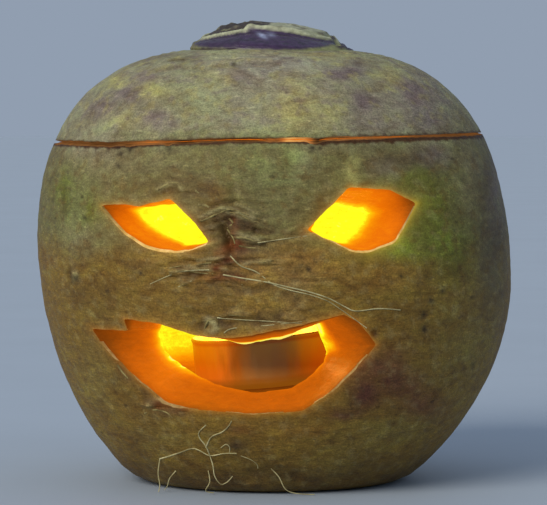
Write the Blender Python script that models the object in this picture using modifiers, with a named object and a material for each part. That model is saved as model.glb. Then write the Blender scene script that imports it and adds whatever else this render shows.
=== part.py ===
"""Carved turnip lantern: a hollowed turnip with a cut-off lid, two eyes and a mouth, lit by a tealight.

Metres, +Z up. The origin is the middle of the flat base, and the carved face looks toward -Y.
"""
from math import atan2, cos, exp, pi, radians, sin, sqrt

import bmesh
import bpy
from mathutils import Matrix, Vector

MM = 0.001

# The turnip as it grew
WIDEST_RADIUS = 58.35 * MM
WIDEST_HEIGHT = 57.0 * MM
LOWER_REACH = 71.3 * MM         # below the widest point, where the root would taper out
UPPER_REACH = 49.4 * MM         # above the widest point, where the shoulders close
LOWER_FULLNESS = (2.2, 1.63)
UPPER_FULLNESS = (1.98, 3.55)
LEAN = 1.9 * MM                 # how far the belly leans toward +X
LEAN_HEIGHT = 34.0 * MM
LEAN_SPREAD = 28.0 * MM
CROWN_SHIFT = -0.5 * MM         # where the top and the root sit along X
BASE_FLAT_RADIUS = 28.0 * MM    # the root end is sliced off flat
BASE_EDGE_HEIGHT = 1.8 * MM
FRONT_FLATTENING = 0.012        # share by which the carved side is flatter
TURNS_OUTSIDE = 90
SKIN_STATIONS = 16              # profile steps in each half of the turnip

# The crown, where the leaves were cut off
CROWN_PROFILE = ((0.0, 112.8), (5.0, 112.7), (9.0, 112.0), (11.6, 111.5), (13.2, 111.1), (14.2, 110.1),
                 (16.3, 108.8), (18.2, 107.6), (19.8, 106.5), (20.6, 105.3), (21.0, 102.0), (0.0, 102.0))
CROWN_CENTRE = Vector((0.4 * MM, 0.0, 0.0))
CROWN_SLOPE = 0.055             # the cut crown falls toward +X
TURNS_CROWN = 48

# The lid cut
SEAM_HEIGHT = 84.3 * MM
SEAM_RISE = 0.021               # the cut climbs toward +X
SEAM_GAP_MIDDLE = 0.65 * MM
SEAM_GAP_OPENING = 0.0067       # the lid gapes at the front and nearly closes at the back

# The scooped hollow
HOLLOW_RADIUS = 41.5 * MM
HOLLOW_MIDDLE = 62.0 * MM
HOLLOW_REACH = 58.3 * MM
HOLLOW_FLOOR = 24.4 * MM        # below the tealight's middle
HOLLOW_STATIONS = 10
TURNS_INSIDE = 48
CUT_OVERRUN = 7.0 * MM          # how far a knife cut runs on past the skin and the hollow

# The tealight
CUP_RADIUS = 19.0 * MM
CUP_HEIGHT = 12.4 * MM
CUP_WALL = 0.4 * MM
CUP_LIP = 0.5 * MM
WAX_HEIGHT = 8.7 * MM
WAX_DISH = 0.9 * MM
WICK_RADIUS = 0.8 * MM
WICK_HEIGHT = 9.5 * MM
WICK_SEAT = 4.4 * MM            # height of the wick's foot above the cup's underside
TOUCH_GAP = 0.3 * MM
TEALIGHT_PLACE = Vector((0.5 * MM, -5.0 * MM, HOLLOW_FLOOR + TOUCH_GAP))
TEALIGHT_TILT = (radians(0.8), radians(-5.7))   # about X and Y: the floor was scooped a little uneven
TURNS_TEALIGHT = 48

# Knife cuts, seen from the front: each corner as (x, z) on the skin, then (x, z) on the hollow's wall
LEFT_EYE = (
    ((-39.8, 69.0), (-31.5, 67.2)),
    ((-35.0, 69.6), (-30.0, 68.2)),
    ((-31.0, 69.1), (-27.6, 68.6)),
    ((-27.5, 70.0), (-24.4, 68.9)),
    ((-23.6, 71.0), (-21.0, 69.2)),
    ((-18.7, 66.7), (-16.0, 65.4)),
    ((-14.5, 61.3), (-12.0, 60.9)),
    ((-18.7, 59.0), (-16.4, 60.0)),
    ((-21.6, 58.4), (-19.8, 59.5)),
    ((-25.6, 59.1), (-22.6, 60.9)),
    ((-29.4, 60.1), (-25.6, 62.4)),
    ((-34.5, 63.2), (-28.6, 64.2)),
)
RIGHT_EYE = (
    ((8.1, 64.0), (9.4, 63.5)),
    ((13.0, 69.0), (10.2, 66.6)),
    ((17.9, 73.8), (14.7, 69.2)),
    ((22.6, 73.4), (17.6, 68.4)),
    ((27.4, 73.0), (20.6, 67.8)),
    ((33.7, 69.8), (22.0, 66.8)),
    ((31.3, 65.4), (20.6, 64.4)),
    ((28.7, 61.2), (18.8, 62.0)),
    ((22.6, 59.0), (17.0, 60.2)),
    ((18.6, 59.2), (14.2, 60.6)),
    ((12.6, 62.0), (9.2, 62.2)),
)
MOUTH = (
    ((-42.2, 39.7), (-26.9, 38.3)),
    ((-33.6, 39.9), (-26.4, 39.5)),
    ((-34.5, 42.7), (-25.8, 40.6)),
    ((-26.1, 41.9), (-22.6, 40.6)),
    ((-17.2, 39.3), (-16.0, 38.6)),
    ((-11.1, 38.9), (-11.0, 37.2)),
    ((-8.2, 39.1), (-7.2, 36.1)),
    ((-3.7, 39.9), (-3.8, 36.6)),
    ((4.2, 41.5), (2.8, 37.7)),
    ((11.1, 43.2), (6.8, 39.5)),
    ((16.6, 44.5), (10.3, 41.0)),
    ((19.8, 42.8), (11.3, 38.2)),
    ((24.2, 37.2), (13.0, 34.2)),
    ((18.6, 31.0), (12.2, 31.6)),
    ((14.0, 26.3), (9.6, 28.6)),
    ((7.0, 21.6), (4.6, 25.2)),
    ((-5.0, 20.8), (-4.0, 24.1)),
    ((-20.2, 21.8), (-13.6, 26.0)),
    ((-24.9, 22.9), (-17.2, 27.8)),
    ((-28.2, 25.6), (-19.8, 29.2)),
    ((-34.0, 30.1), (-23.6, 31.8)),
    ((-38.8, 35.2), (-26.5, 34.8)),
)

# Colours: the look of each material
MATERIALS = {
    "turnip_skin": ((0.16, 0.13, 0.05, 1.0), 0.55, 0.0),
    "turnip_lid_skin": ((0.26, 0.25, 0.13, 1.0), 0.55, 0.0),
    "aluminium_foil": ((0.80, 0.80, 0.80, 1.0), 0.30, 1.0),
    "candle_wax": ((0.90, 0.86, 0.76, 1.0), 0.40, 0.0),
    "charred_wick": ((0.03, 0.025, 0.02, 1.0), 0.90, 0.0),
}


def clear_scene():
    for thing in list(bpy.data.objects):
        bpy.data.objects.remove(thing, do_unlink=True)


def new_collection(name):
    collection = bpy.data.collections.new(name)
    bpy.context.scene.collection.children.link(collection)
    return collection


def make_material(name):
    colour, roughness, metallic = MATERIALS[name]
    material = bpy.data.materials.new(name)
    material.use_nodes = True
    shader = material.node_tree.nodes["Principled BSDF"]
    shader.inputs["Base Color"].default_value = colour
    shader.inputs["Roughness"].default_value = roughness
    shader.inputs["Metallic"].default_value = metallic
    return material


def new_object(name, mesh, collection):
    thing = bpy.data.objects.new(name, mesh)
    collection.objects.link(thing)
    return thing


def turned_mesh(name, profile, steps):
    """The closed mesh that a profile of (radius, height) makes when it is turned about Z."""
    line = bpy.data.meshes.new(name)
    edges = [(index, index + 1) for index in range(len(profile) - 1)]
    line.from_pydata([(radius, 0.0, height) for radius, height in profile], edges, [])
    draft = new_object(name, line, bpy.context.scene.collection)
    screw = draft.modifiers.new("turn", "SCREW")
    screw.steps = steps
    screw.render_steps = steps
    screw.use_merge_vertices = True
    screw.merge_threshold = 0.00001
    bpy.context.view_layer.update()
    evaluated = draft.evaluated_get(bpy.context.evaluated_depsgraph_get())
    mesh = bpy.data.meshes.new_from_object(evaluated)
    bpy.data.objects.remove(draft, do_unlink=True)
    return mesh


def skin_radius(height):
    if height < WIDEST_HEIGHT:
        share = (WIDEST_HEIGHT - height) / LOWER_REACH
        first, second = LOWER_FULLNESS
    else:
        share = min((height - WIDEST_HEIGHT) / UPPER_REACH, 1.0)
        first, second = UPPER_FULLNESS
    return WIDEST_RADIUS * (1.0 - share ** first) ** (1.0 / second)


def lean_at(height):
    return CROWN_SHIFT + LEAN * exp(-((height - LEAN_HEIGHT) / LEAN_SPREAD) ** 2)


def front_share(angle):
    """How much flatter the skin is at an angle from the front: all of it in front, none at the sides."""
    return 1.0 - FRONT_FLATTENING * max(cos(angle), 0.0) ** 2


def grown(point):
    """Where a point of the round turned form lies on the uneven turnip."""
    share = front_share(atan2(point.x, -point.y))
    return Vector((point.x * share + lean_at(point.z), point.y * share, point.z))


def skin_depth(x, height):
    """The y of the skin's front at a place across the face."""
    radius = skin_radius(height) * (1.0 - FRONT_FLATTENING)
    return -sqrt(radius ** 2 - (x - lean_at(height)) ** 2)


def hollow_radius(height):
    share = (height - HOLLOW_MIDDLE) / HOLLOW_REACH
    return HOLLOW_RADIUS * sqrt(1.0 - share ** 2)


def turnip_profile():
    """Radius and height down the whole turnip, from the crown to the sliced base."""
    top = WIDEST_HEIGHT + UPPER_REACH
    profile = [(0.0, top)]
    for step in range(1, SKIN_STATIONS + 1):
        height = WIDEST_HEIGHT + UPPER_REACH * cos(0.5 * pi * step / SKIN_STATIONS)
        profile.append((skin_radius(height), height))
    fall = WIDEST_HEIGHT - BASE_EDGE_HEIGHT
    for step in range(1, SKIN_STATIONS + 1):
        height = WIDEST_HEIGHT - fall * sin(0.5 * pi * step / SKIN_STATIONS)
        profile.append((skin_radius(height), height))
    edge_radius = profile[-1][0]
    profile.append((0.5 * (edge_radius + BASE_FLAT_RADIUS) + 0.6 * MM, 0.3 * BASE_EDGE_HEIGHT))
    profile.append((BASE_FLAT_RADIUS, 0.0))
    profile.append((0.0, 0.0))
    return profile


def make_whole_turnip():
    mesh = turned_mesh("whole_turnip", turnip_profile(), TURNS_OUTSIDE)
    for vertex in mesh.vertices:
        vertex.co = grown(vertex.co)
    return mesh


def make_crown():
    mesh = turned_mesh("crown", [(r * MM, z * MM) for r, z in CROWN_PROFILE], TURNS_CROWN)
    for vertex in mesh.vertices:
        lift = max(vertex.co.z - SEAM_HEIGHT, 0.0) / (WIDEST_HEIGHT + UPPER_REACH - SEAM_HEIGHT)
        vertex.co.z -= CROWN_SLOPE * vertex.co.x * lift
        vertex.co += CROWN_CENTRE
    return mesh


def make_slab(name, collection, face_height, gap_slope, upward):
    """A block with one slanting face, to cut the turnip along the seam."""
    half = 2.0 * WIDEST_RADIUS
    far = face_height + (half if upward else -half)
    bm = bmesh.new()
    bmesh.ops.create_cube(bm, size=2.0 * half)
    for vertex in bm.verts:
        on_seam = (vertex.co.z < 0.0) == upward
        slant = SEAM_RISE * vertex.co.x - gap_slope * vertex.co.y
        vertex.co.z = face_height + slant if on_seam else far
    mesh = bpy.data.meshes.new(name)
    bm.to_mesh(mesh)
    bm.free()
    return make_cutter(name, mesh, collection)


def make_cutter(name, mesh, collection):
    cutter = new_object(name, mesh, collection)
    cutter.hide_render = True
    cutter.display_type = "WIRE"
    return cutter


def tealight_frame():
    """The tealight's place, tilted as the scooped floor is."""
    about_x, about_y = TEALIGHT_TILT
    turn = Matrix.Rotation(about_x, 4, "X") @ Matrix.Rotation(about_y, 4, "Y")
    return Matrix.Translation(TEALIGHT_PLACE) @ turn


def make_hollow_cutter(collection):
    """The scooped space: an egg shape cut off by the slanting floor, open at the lid."""
    top = HOLLOW_MIDDLE + 0.55 * HOLLOW_REACH
    bottom = HOLLOW_FLOOR - 4.0 * MM
    profile = [(0.0, top)]
    for step in range(HOLLOW_STATIONS + 1):
        height = top + (bottom - top) * step / HOLLOW_STATIONS
        profile.append((hollow_radius(height), height))
    profile.append((0.0, bottom))
    mesh = turned_mesh("hollow", profile, TURNS_INSIDE)
    frame = tealight_frame()
    floor_normal = frame.to_3x3() @ Vector((0.0, 0.0, 1.0))
    floor_point = frame @ Vector((0.0, 0.0, -TOUCH_GAP))
    bm = bmesh.new()
    bm.from_mesh(mesh)
    everything = bm.verts[:] + bm.edges[:] + bm.faces[:]
    cut = bmesh.ops.bisect_plane(bm, geom=everything, plane_co=floor_point, plane_no=floor_normal,
                                 clear_inner=True)
    rim = [item for item in cut["geom_cut"] if isinstance(item, bmesh.types.BMEdge)]
    bmesh.ops.contextual_create(bm, geom=rim)
    bmesh.ops.recalc_face_normals(bm, faces=bm.faces[:])
    bm.to_mesh(mesh)
    bm.free()
    return make_cutter("hollow_cutter", mesh, collection)


def make_opening_cutter(name, outline, collection):
    """A loft from the outline on the skin to the outline on the hollow's wall, run on past both."""
    bm = bmesh.new()
    outside = []
    inside = []
    for (skin_x, skin_z), (wall_x, wall_z) in outline:
        on_skin = Vector((skin_x * MM, skin_depth(skin_x * MM, skin_z * MM), skin_z * MM))
        wall_y = -sqrt(hollow_radius(wall_z * MM) ** 2 - (wall_x * MM) ** 2)
        on_wall = Vector((wall_x * MM, wall_y, wall_z * MM))
        along = (on_skin - on_wall).normalized() * CUT_OVERRUN
        outside.append(bm.verts.new(on_skin + along))
        inside.append(bm.verts.new(on_wall - along))
    for index in range(len(outline)):
        bm.faces.new((outside[index - 1], outside[index], inside[index], inside[index - 1]))
    front = min(vertex.co.y for vertex in outside) - CUT_OVERRUN
    back = max(vertex.co.y for vertex in inside)
    for ring, depth in ((outside, front), (inside, back)):
        fan = bmesh.ops.poke(bm, faces=[bm.faces.new(ring)])
        fan["verts"][0].co.y = depth
    bmesh.ops.triangulate(bm, faces=bm.faces[:])
    bmesh.ops.recalc_face_normals(bm, faces=bm.faces[:])
    mesh = bpy.data.meshes.new(name)
    bm.to_mesh(mesh)
    bm.free()
    return make_cutter(name, mesh, collection)


def add_boolean(thing, other, operation):
    cut = thing.modifiers.new(other.name, "BOOLEAN")
    cut.operation = operation
    cut.object = other
    cut.solver = "EXACT"


def finish_round(mesh, material):
    mesh.shade_smooth()
    mesh.set_sharp_from_angle(angle=radians(35.0))
    mesh.materials.clear()
    mesh.materials.append(material)


def build_body(turnip_mesh, parts, cutters):
    body = new_object("turnip_body", turnip_mesh, parts)
    finish_round(body.data, make_material("turnip_skin"))
    above_seam = make_slab("above_seam", cutters, SEAM_HEIGHT, 0.0, True)
    add_boolean(body, above_seam, "DIFFERENCE")
    add_boolean(body, make_hollow_cutter(cutters), "DIFFERENCE")
    for name, outline in (("left_eye", LEFT_EYE), ("right_eye", RIGHT_EYE), ("mouth", MOUTH)):
        add_boolean(body, make_opening_cutter(name, outline, cutters), "DIFFERENCE")


def build_lid(turnip_mesh, parts, cutters):
    lid = new_object("turnip_lid", turnip_mesh, parts)
    finish_round(lid.data, make_material("turnip_lid_skin"))
    below_lid = make_slab("below_lid", cutters, SEAM_HEIGHT + SEAM_GAP_MIDDLE, SEAM_GAP_OPENING, False)
    crown = make_cutter("crown", make_crown(), cutters)
    add_boolean(lid, below_lid, "DIFFERENCE")
    add_boolean(lid, crown, "UNION")


def build_turned(name, profile, material, parts):
    thing = new_object(name, turned_mesh(name, profile, TURNS_TEALIGHT), parts)
    finish_round(thing.data, make_material(material))
    thing.matrix_world = tealight_frame()
    return thing


def build_tealight(parts):
    inner = CUP_RADIUS - CUP_WALL
    cup = [(0.0, CUP_WALL), (inner, CUP_WALL), (inner, CUP_HEIGHT - CUP_WALL),
           (CUP_RADIUS + CUP_LIP - CUP_WALL, CUP_HEIGHT), (CUP_RADIUS + CUP_LIP, CUP_HEIGHT - CUP_WALL),
           (CUP_RADIUS, CUP_HEIGHT - 2.0 * CUP_WALL), (CUP_RADIUS, CUP_WALL),
           (CUP_RADIUS - CUP_WALL, 0.0), (0.0, 0.0)]
    build_turned("tealight_cup", cup, "aluminium_foil", parts)
    wax_radius = inner - TOUCH_GAP
    wax_foot = CUP_WALL + TOUCH_GAP
    wax_top = wax_foot + WAX_HEIGHT
    bore = WICK_RADIUS + TOUCH_GAP
    wax = [(0.0, WICK_SEAT - TOUCH_GAP), (bore, WICK_SEAT - TOUCH_GAP), (bore, wax_top - WAX_DISH),
           (0.5 * wax_radius, wax_top - 0.8 * WAX_DISH), (0.85 * wax_radius, wax_top - 0.3 * WAX_DISH),
           (wax_radius, wax_top), (wax_radius, wax_foot), (0.0, wax_foot)]
    build_turned("tealight_wax", wax, "candle_wax", parts)
    wick_top = WICK_SEAT + WICK_HEIGHT
    wick = [(0.0, wick_top), (0.7 * WICK_RADIUS, wick_top), (WICK_RADIUS, wick_top - WICK_RADIUS),
            (WICK_RADIUS, WICK_SEAT), (0.0, WICK_SEAT)]
    build_turned("tealight_wick", wick, "charred_wick", parts)


def main():
    clear_scene()
    parts = new_collection("carved_turnip_lantern")
    cutters = new_collection("cutters")
    whole = make_whole_turnip()
    build_body(whole, parts, cutters)
    build_lid(whole.copy(), parts, cutters)
    build_tealight(parts)


main()
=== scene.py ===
from math import atan2, cos, hypot, pi, radians, sin

import bmesh
import bpy
import numpy as np
from mathutils import Matrix, Vector, noise
from mathutils.bvhtree import BVHTree


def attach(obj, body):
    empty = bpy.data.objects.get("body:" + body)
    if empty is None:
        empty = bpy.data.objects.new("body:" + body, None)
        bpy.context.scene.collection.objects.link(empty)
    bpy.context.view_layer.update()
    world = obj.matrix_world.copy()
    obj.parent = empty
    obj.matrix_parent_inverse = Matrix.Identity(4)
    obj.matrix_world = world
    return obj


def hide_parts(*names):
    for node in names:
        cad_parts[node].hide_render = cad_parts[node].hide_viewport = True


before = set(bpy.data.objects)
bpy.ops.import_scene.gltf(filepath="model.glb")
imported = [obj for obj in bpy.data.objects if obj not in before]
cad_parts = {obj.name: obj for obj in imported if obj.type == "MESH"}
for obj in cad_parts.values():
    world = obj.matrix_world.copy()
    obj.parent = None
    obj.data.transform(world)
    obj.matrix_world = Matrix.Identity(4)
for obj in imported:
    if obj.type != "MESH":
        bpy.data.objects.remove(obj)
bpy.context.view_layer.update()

scene = bpy.context.scene
mm = 0.001    # shapes are worked out in millimetres and written in metres

# the turnip's own form, as in the solids
turnip = {
    "widestRadius": 58.35, "widestHeight": 57.0, "lowerReach": 71.3, "upperReach": 49.4,
    "lowerFullness": (2.2, 1.63), "upperFullness": (1.98, 3.55),
    "lean": 1.9, "leanHeight": 34.0, "leanSpread": 28.0, "crownShift": -0.5,
    "frontFlattening": 0.012, "baseFlat": 28.0, "baseEdge": 1.8,
}
hollow = {    # its floor falls to -x and to -y
    "radius": 41.5, "middle": 62.0, "reach": 58.3, "roof": 95.0, "floor": 24.4, "slopeX": 0.100,
    "slopeY": 0.014, "columns": 140, "rows": 56,
}
flame = {"x": -0.5, "y": -5.1, "z": 44.0}    # where the light comes from


def bell(value, middle, width):
    return np.exp(-((value - middle) / width) ** 2)


def smooth(low, high, value):
    share = np.clip((value - low) / (high - low), 0.0, 1.0)
    return share * share * (3.0 - 2.0 * share)


def bellSum(value, bells):
    # each bell is a middle, a half width and a strength
    return sum(strength * bell(value, middle, half) for middle, half, strength in bells)


def ovalSum(x, z, ovals):
    # each soft oval is a middle (x, z), a half size (x, z) and a strength
    return sum(strength * bell(x, middleX, halfX) * bell(z, middleZ, halfZ)
               for middleX, middleZ, halfX, halfZ, strength in ovals)


def noiseAt(places, size, seed=0.0):
    # -1 to 1 at each place, with lumps of about the given size, which may differ along each axis
    scaled = np.atleast_2d(places) / np.array(size) + np.array((seed, -seed, 2.0 * seed))
    return np.array([noise.noise(place) for place in scaled.tolist()])


def ridges(values):
    return 1.0 - np.minimum(np.abs(values) * 2.4, 1.0)


def skinRadius(z):
    low = np.clip((turnip["widestHeight"] - z) / turnip["lowerReach"], 0.0, 1.0)
    high = np.clip((z - turnip["widestHeight"]) / turnip["upperReach"], 0.0, 1.0)
    lower = (1.0 - low ** turnip["lowerFullness"][0]) ** (1.0 / turnip["lowerFullness"][1])
    upper = (1.0 - high ** turnip["upperFullness"][0]) ** (1.0 / turnip["upperFullness"][1])
    return turnip["widestRadius"] * lower * upper


def leanAt(z):
    return turnip["crownShift"] + turnip["lean"] * bell(z, turnip["leanHeight"], turnip["leanSpread"])


def grown(radius, turn, z):
    # a turned form made flatter in front and leaning a little; turn is 0 in front and grows to the right
    share = 1.0 - turnip["frontFlattening"] * max(cos(turn), 0.0) ** 2
    return Vector((radius * sin(turn) * share + leanAt(z), -radius * cos(turn) * share, z))


def skinDepth(x, z):
    # how far forward the smooth skin lies
    radius = skinRadius(z) * (1.0 - turnip["frontFlattening"])
    return -np.sqrt(np.maximum(radius ** 2 - (x - leanAt(z)) ** 2, 0.0))


def floorAt(x, y):
    return hollow["floor"] + hollow["slopeX"] * (x - flame["x"]) + hollow["slopeY"] * (y - flame["y"])


def hollowRadius(z):
    share = (z - hollow["middle"]) / hollow["reach"]
    return hollow["radius"] * np.sqrt(np.maximum(1.0 - share ** 2, 0.0))


def evenly(line, spacing):
    # the same line with its points about spacing apart
    line = np.array(line, dtype=float)
    walked = np.concatenate(([0.0], np.cumsum(np.hypot(*np.diff(line, axis=0).T))))
    steps = max(round(walked[-1] / spacing), 1)
    stops = np.linspace(0.0, walked[-1], steps + 1)
    return np.column_stack([np.interp(stops, walked, part) for part in line.T]).tolist()


def finer(profile, spacing):
    # the profile with more points, apart from its two ends on the axis
    return [profile[0]] + evenly(profile[1:-1], spacing) + [profile[-1]]


def skinLine(top, bottom):
    # the skin's profile from one height down to another, as (radius, z)
    tall, wide = turnip["upperFullness"]
    line = []
    for turn in np.linspace(0.0, pi / 2, 400):
        height = turnip["upperReach"] * max(cos(turn), 0.0) ** (2.0 / tall)
        line.append((turnip["widestRadius"] * sin(turn) ** (2.0 / wide), turnip["widestHeight"] + height))
    line += [(float(skinRadius(z)), z) for z in np.linspace(turnip["widestHeight"], 0.0, 400)[1:]]
    return [(radius, z) for radius, z in line if bottom <= z <= top]


# mesh helpers: a form is a grid rolled up, whose first and last rows each shrink to one point
def rolled(columns, rows, place, look=lambda column, row: 0):
    bm = bmesh.new()
    bmesh.ops.create_grid(bm, x_segments=columns, y_segments=rows - 1, size=1.0)

    def cellOf(spot):
        return (spot.x + 1.0) / 2.0 * columns, (spot.y + 1.0) / 2.0 * (rows - 1)

    for face in bm.faces:
        column, row = cellOf(face.calc_center_median())
        face.material_index = look(int(column), int(row))
    for vert in bm.verts:
        column, row = cellOf(vert.co)
        vert.co = place(round(column) % columns, round(row))
    bmesh.ops.remove_doubles(bm, verts=bm.verts[:], dist=1e-4)
    bmesh.ops.recalc_face_normals(bm, faces=bm.faces[:])
    return bm


def turned(profile, columns):
    # a turned form, whose profile starts and ends on the axis
    def place(column, row):
        radius, z = profile[row]
        turn = 2.0 * pi * column / columns
        return radius * sin(turn), -radius * cos(turn), z
    return rolled(columns, len(profile), place)


def placesOf(bm):
    return np.array([vert.co[:] for vert in bm.verts])


def movePlaces(bm, places):
    for vert, place in zip(bm.verts, places):
        vert.co = place


def writeMesh(bm, name, looks):
    # from millimetres to metres, as an object at the origin
    bmesh.ops.scale(bm, vec=(mm, mm, mm), verts=bm.verts[:])
    mesh = bpy.data.meshes.new(name)
    bm.to_mesh(mesh)
    bm.free()
    for look in looks:
        mesh.materials.append(look)
    piece = bpy.data.objects.new(name, mesh)
    scene.collection.objects.link(piece)
    return piece


def meshPlaces(piece):
    flat = np.empty(len(piece.data.vertices) * 3, dtype=np.float32)
    piece.data.vertices.foreach_get("co", flat)
    return flat.reshape(-1, 3).astype(float) / mm


def paint(piece, name, values):
    # stores a number or a colour at each point for the materials to read
    values = np.asarray(values, dtype=np.float32)
    if values.ndim == 1:
        piece.data.attributes.new(name, "FLOAT", "POINT").data.foreach_set("value", values)
    else:
        colours = np.ones((len(values), 4), dtype=np.float32)
        colours[:, :3] = values
        piece.data.attributes.new(name, "FLOAT_COLOR", "POINT").data.foreach_set("color", colours.ravel())


def cutBy(piece, cutters):
    for cutter in cutters:
        cut = piece.modifiers.new("cut", "BOOLEAN")
        cut.operation = "DIFFERENCE"
        cut.solver = "MANIFOLD"
        cut.object = cutter
    bpy.context.view_layer.update()
    result = piece.evaluated_get(bpy.context.evaluated_depsgraph_get())
    mesh = bpy.data.meshes.new_from_object(result)
    piece.modifiers.clear()
    uncut = piece.data
    piece.data = mesh
    bpy.data.meshes.remove(uncut)
    for cutter in cutters:
        bpy.data.objects.remove(cutter, do_unlink=True)


def finished(piece, node, sharp=38.0):
    piece.data.shade_smooth()
    piece.data.set_sharp_from_angle(angle=radians(sharp))
    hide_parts(node)
    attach(piece, "root")
    print(piece.name, len(piece.data.polygons), "faces")


# node helpers for the materials
white = even = (1.0, 1.0, 1.0)     # as a colour, and as a stretch that is the same along each axis


def addNode(tree, kind, inputs=None, **settings):
    made = tree.nodes.new("ShaderNode" + kind)
    for name, value in settings.items():
        setattr(made, name, value)
    for name, value in (inputs or {}).items():
        if isinstance(value, bpy.types.NodeSocket):
            tree.links.new(value, made.inputs[name])
        else:
            made.inputs[name].default_value = value
    return made


def newMaterial(name, **fixed):
    material = bpy.data.materials.new(name)
    material.use_nodes = True
    shader = material.node_tree.nodes["Principled BSDF"]
    for socket, value in fixed.items():
        shader.inputs[socket.replace("_", " ")].default_value = value
    return material, material.node_tree, shader


def feed(tree, shader, **sources):
    for socket, source in sources.items():
        tree.links.new(source, shader.inputs[socket.replace("_", " ")])


def placeIn(tree, stretch=even):
    # object coordinates in millimetres, squeezed along the axes where a pattern runs
    place = addNode(tree, "TexCoord").outputs["Object"]
    scale = tuple(part / mm for part in stretch)
    return addNode(tree, "Mapping", {"Vector": place, "Scale": scale}).outputs["Vector"]


def noiseIn(tree, size, stretch=even, detail=4.0, roughness=0.55, distortion=0.0):
    inputs = {"Vector": placeIn(tree, stretch), "Scale": 1.0 / size, "Detail": detail,
              "Roughness": roughness, "Distortion": distortion}
    return addNode(tree, "TexNoise", inputs).outputs["Fac"]


def rampIn(tree, factor, stops):
    ramp = addNode(tree, "ValToRGB", {"Fac": factor})
    points = ramp.color_ramp.elements
    while len(points) < len(stops):
        points.new(0.5)
    for point, (position, colour) in zip(points, stops):
        point.position = position
        point.color = (*colour, 1.0)
    return ramp.outputs["Color"]


def spanIn(tree, factor, low, high, toLow=0.0, toHigh=1.0):
    return addNode(tree, "MapRange", {"Value": factor, "From Min": low, "From Max": high, "To Min": toLow,
                                      "To Max": toHigh}).outputs["Result"]


def sumIn(tree, first, second):
    return addNode(tree, "Math", {0: first, 1: second}, operation="ADD").outputs["Value"]


def timesIn(tree, first, second, share):
    # the first colour multiplied by the second, as much as share says
    made = addNode(tree, "Mix", data_type="RGBA", blend_type="MULTIPLY")
    made.inputs[0].default_value = share
    tree.links.new(first, made.inputs[6])
    tree.links.new(second, made.inputs[7])
    return made.outputs[2]


def mottledIn(tree, colour, pattern, half, dark, light, share):
    # the colour times dark and light, which the pattern reaches at half below and half above its middle
    stops = ((0.5 - half, dark), (0.5, white), (0.5 + half, light))
    return timesIn(tree, colour, rampIn(tree, pattern, stops), share)


def bumpIn(tree, height, depth, below=None):
    inputs = {"Height": height, "Distance": depth * mm}
    if below is not None:
        inputs["Normal"] = below
    return addNode(tree, "Bump", inputs).outputs["Normal"]


def heightIn(tree):
    return addNode(tree, "SeparateXYZ", {"Vector": placeIn(tree)}).outputs["Z"]


def paintedIn(tree, name, output="Color"):
    return addNode(tree, "Attribute", attribute_name=name, attribute_type="GEOMETRY").outputs[output]


def patchyMaterial(name, size, colours=None, glows=None, grit=None, stretch=even, coarse=0.55, **fixed):
    # one noise pattern mixes the colours, or the glows; grit is the size and depth of a fine relief
    material, tree, shader = newMaterial(name, **fixed)
    pattern = noiseIn(tree, size, stretch, roughness=coarse)
    if colours:
        feed(tree, shader, Base_Color=rampIn(tree, pattern, colours))
    if glows:
        feed(tree, shader, Emission_Color=rampIn(tree, pattern, glows))
    if grit:
        feed(tree, shader, Normal=bumpIn(tree, noiseIn(tree, grit[0], stretch), grit[1]))
    return material


# turnip skin: painted tones, broken up by mottling, streaks, grain, pale dashes and small dark lenticels
def skinMaterial():
    material, tree, shader = newMaterial("turnip_skin", Specular_IOR_Level=0.16, Emission_Strength=1.0)
    streak = (0.55, 0.55, 1.0)
    cloud = noiseIn(tree, 5.0, streak, 6.0, 0.66, 0.8)
    fine = noiseIn(tree, 1.3, streak, 5.0, 0.68)
    grain = noiseIn(tree, 0.40, detail=3.0, roughness=0.7)
    dash = noiseIn(tree, 0.8, (0.35, 0.35, 1.5), 3.0, 0.6)
    wrinkle = noiseIn(tree, 1.5, (0.35, 0.35, 1.6), 5.0, 0.6, 0.5)
    cells = addNode(tree, "TexVoronoi", {"Vector": placeIn(tree, streak), "Scale": 0.17, "Randomness": 1.0})
    colour = paintedIn(tree, "tone")
    colour = mottledIn(tree, colour, cloud, 0.18, (0.72, 0.62, 0.58), (1.16, 1.28, 1.14), 0.9)
    colour = mottledIn(tree, colour, fine, 0.20, (0.66, 0.62, 0.58), (1.30, 1.31, 1.28), 0.85)
    colour = mottledIn(tree, colour, grain, 0.20, (0.55, 0.54, 0.58), (1.50, 1.46, 1.50), 0.8)
    colour = timesIn(tree, colour, rampIn(tree, dash, ((0.60, white), (0.68, (1.45, 1.42, 1.40)))), 0.8)
    dots = rampIn(tree, cells.outputs["Distance"], ((0.04, (0.45, 0.42, 0.42)), (0.09, white)))
    under = bumpIn(tree, fine, 0.20, bumpIn(tree, wrinkle, 0.26))
    feed(tree, shader, Base_Color=timesIn(tree, colour, dots, 0.8), Emission_Color=paintedIn(tree, "shine"),
         Roughness=spanIn(tree, fine, 0.3, 0.7, 0.46, 0.66), Normal=bumpIn(tree, grain, 0.07, under))
    return material


# candlelight soaking through the cut flesh: dark near the skin, yellow near the flame
glowStops = ((0.0, (0.03, 0.005, 0.0005)), (0.25, (0.20, 0.045, 0.002)), (0.45, (0.53, 0.100, 0.0015)),
             (0.60, (0.76, 0.155, 0.001)), (0.74, (0.90, 0.29, 0.001)), (0.87, (0.93, 0.56, 0.003)),
             (0.935, (0.96, 1.0, 0.013)), (0.985, (0.96, 1.0, 0.016)), (1.0, (0.97, 0.86, 0.15)))


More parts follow.
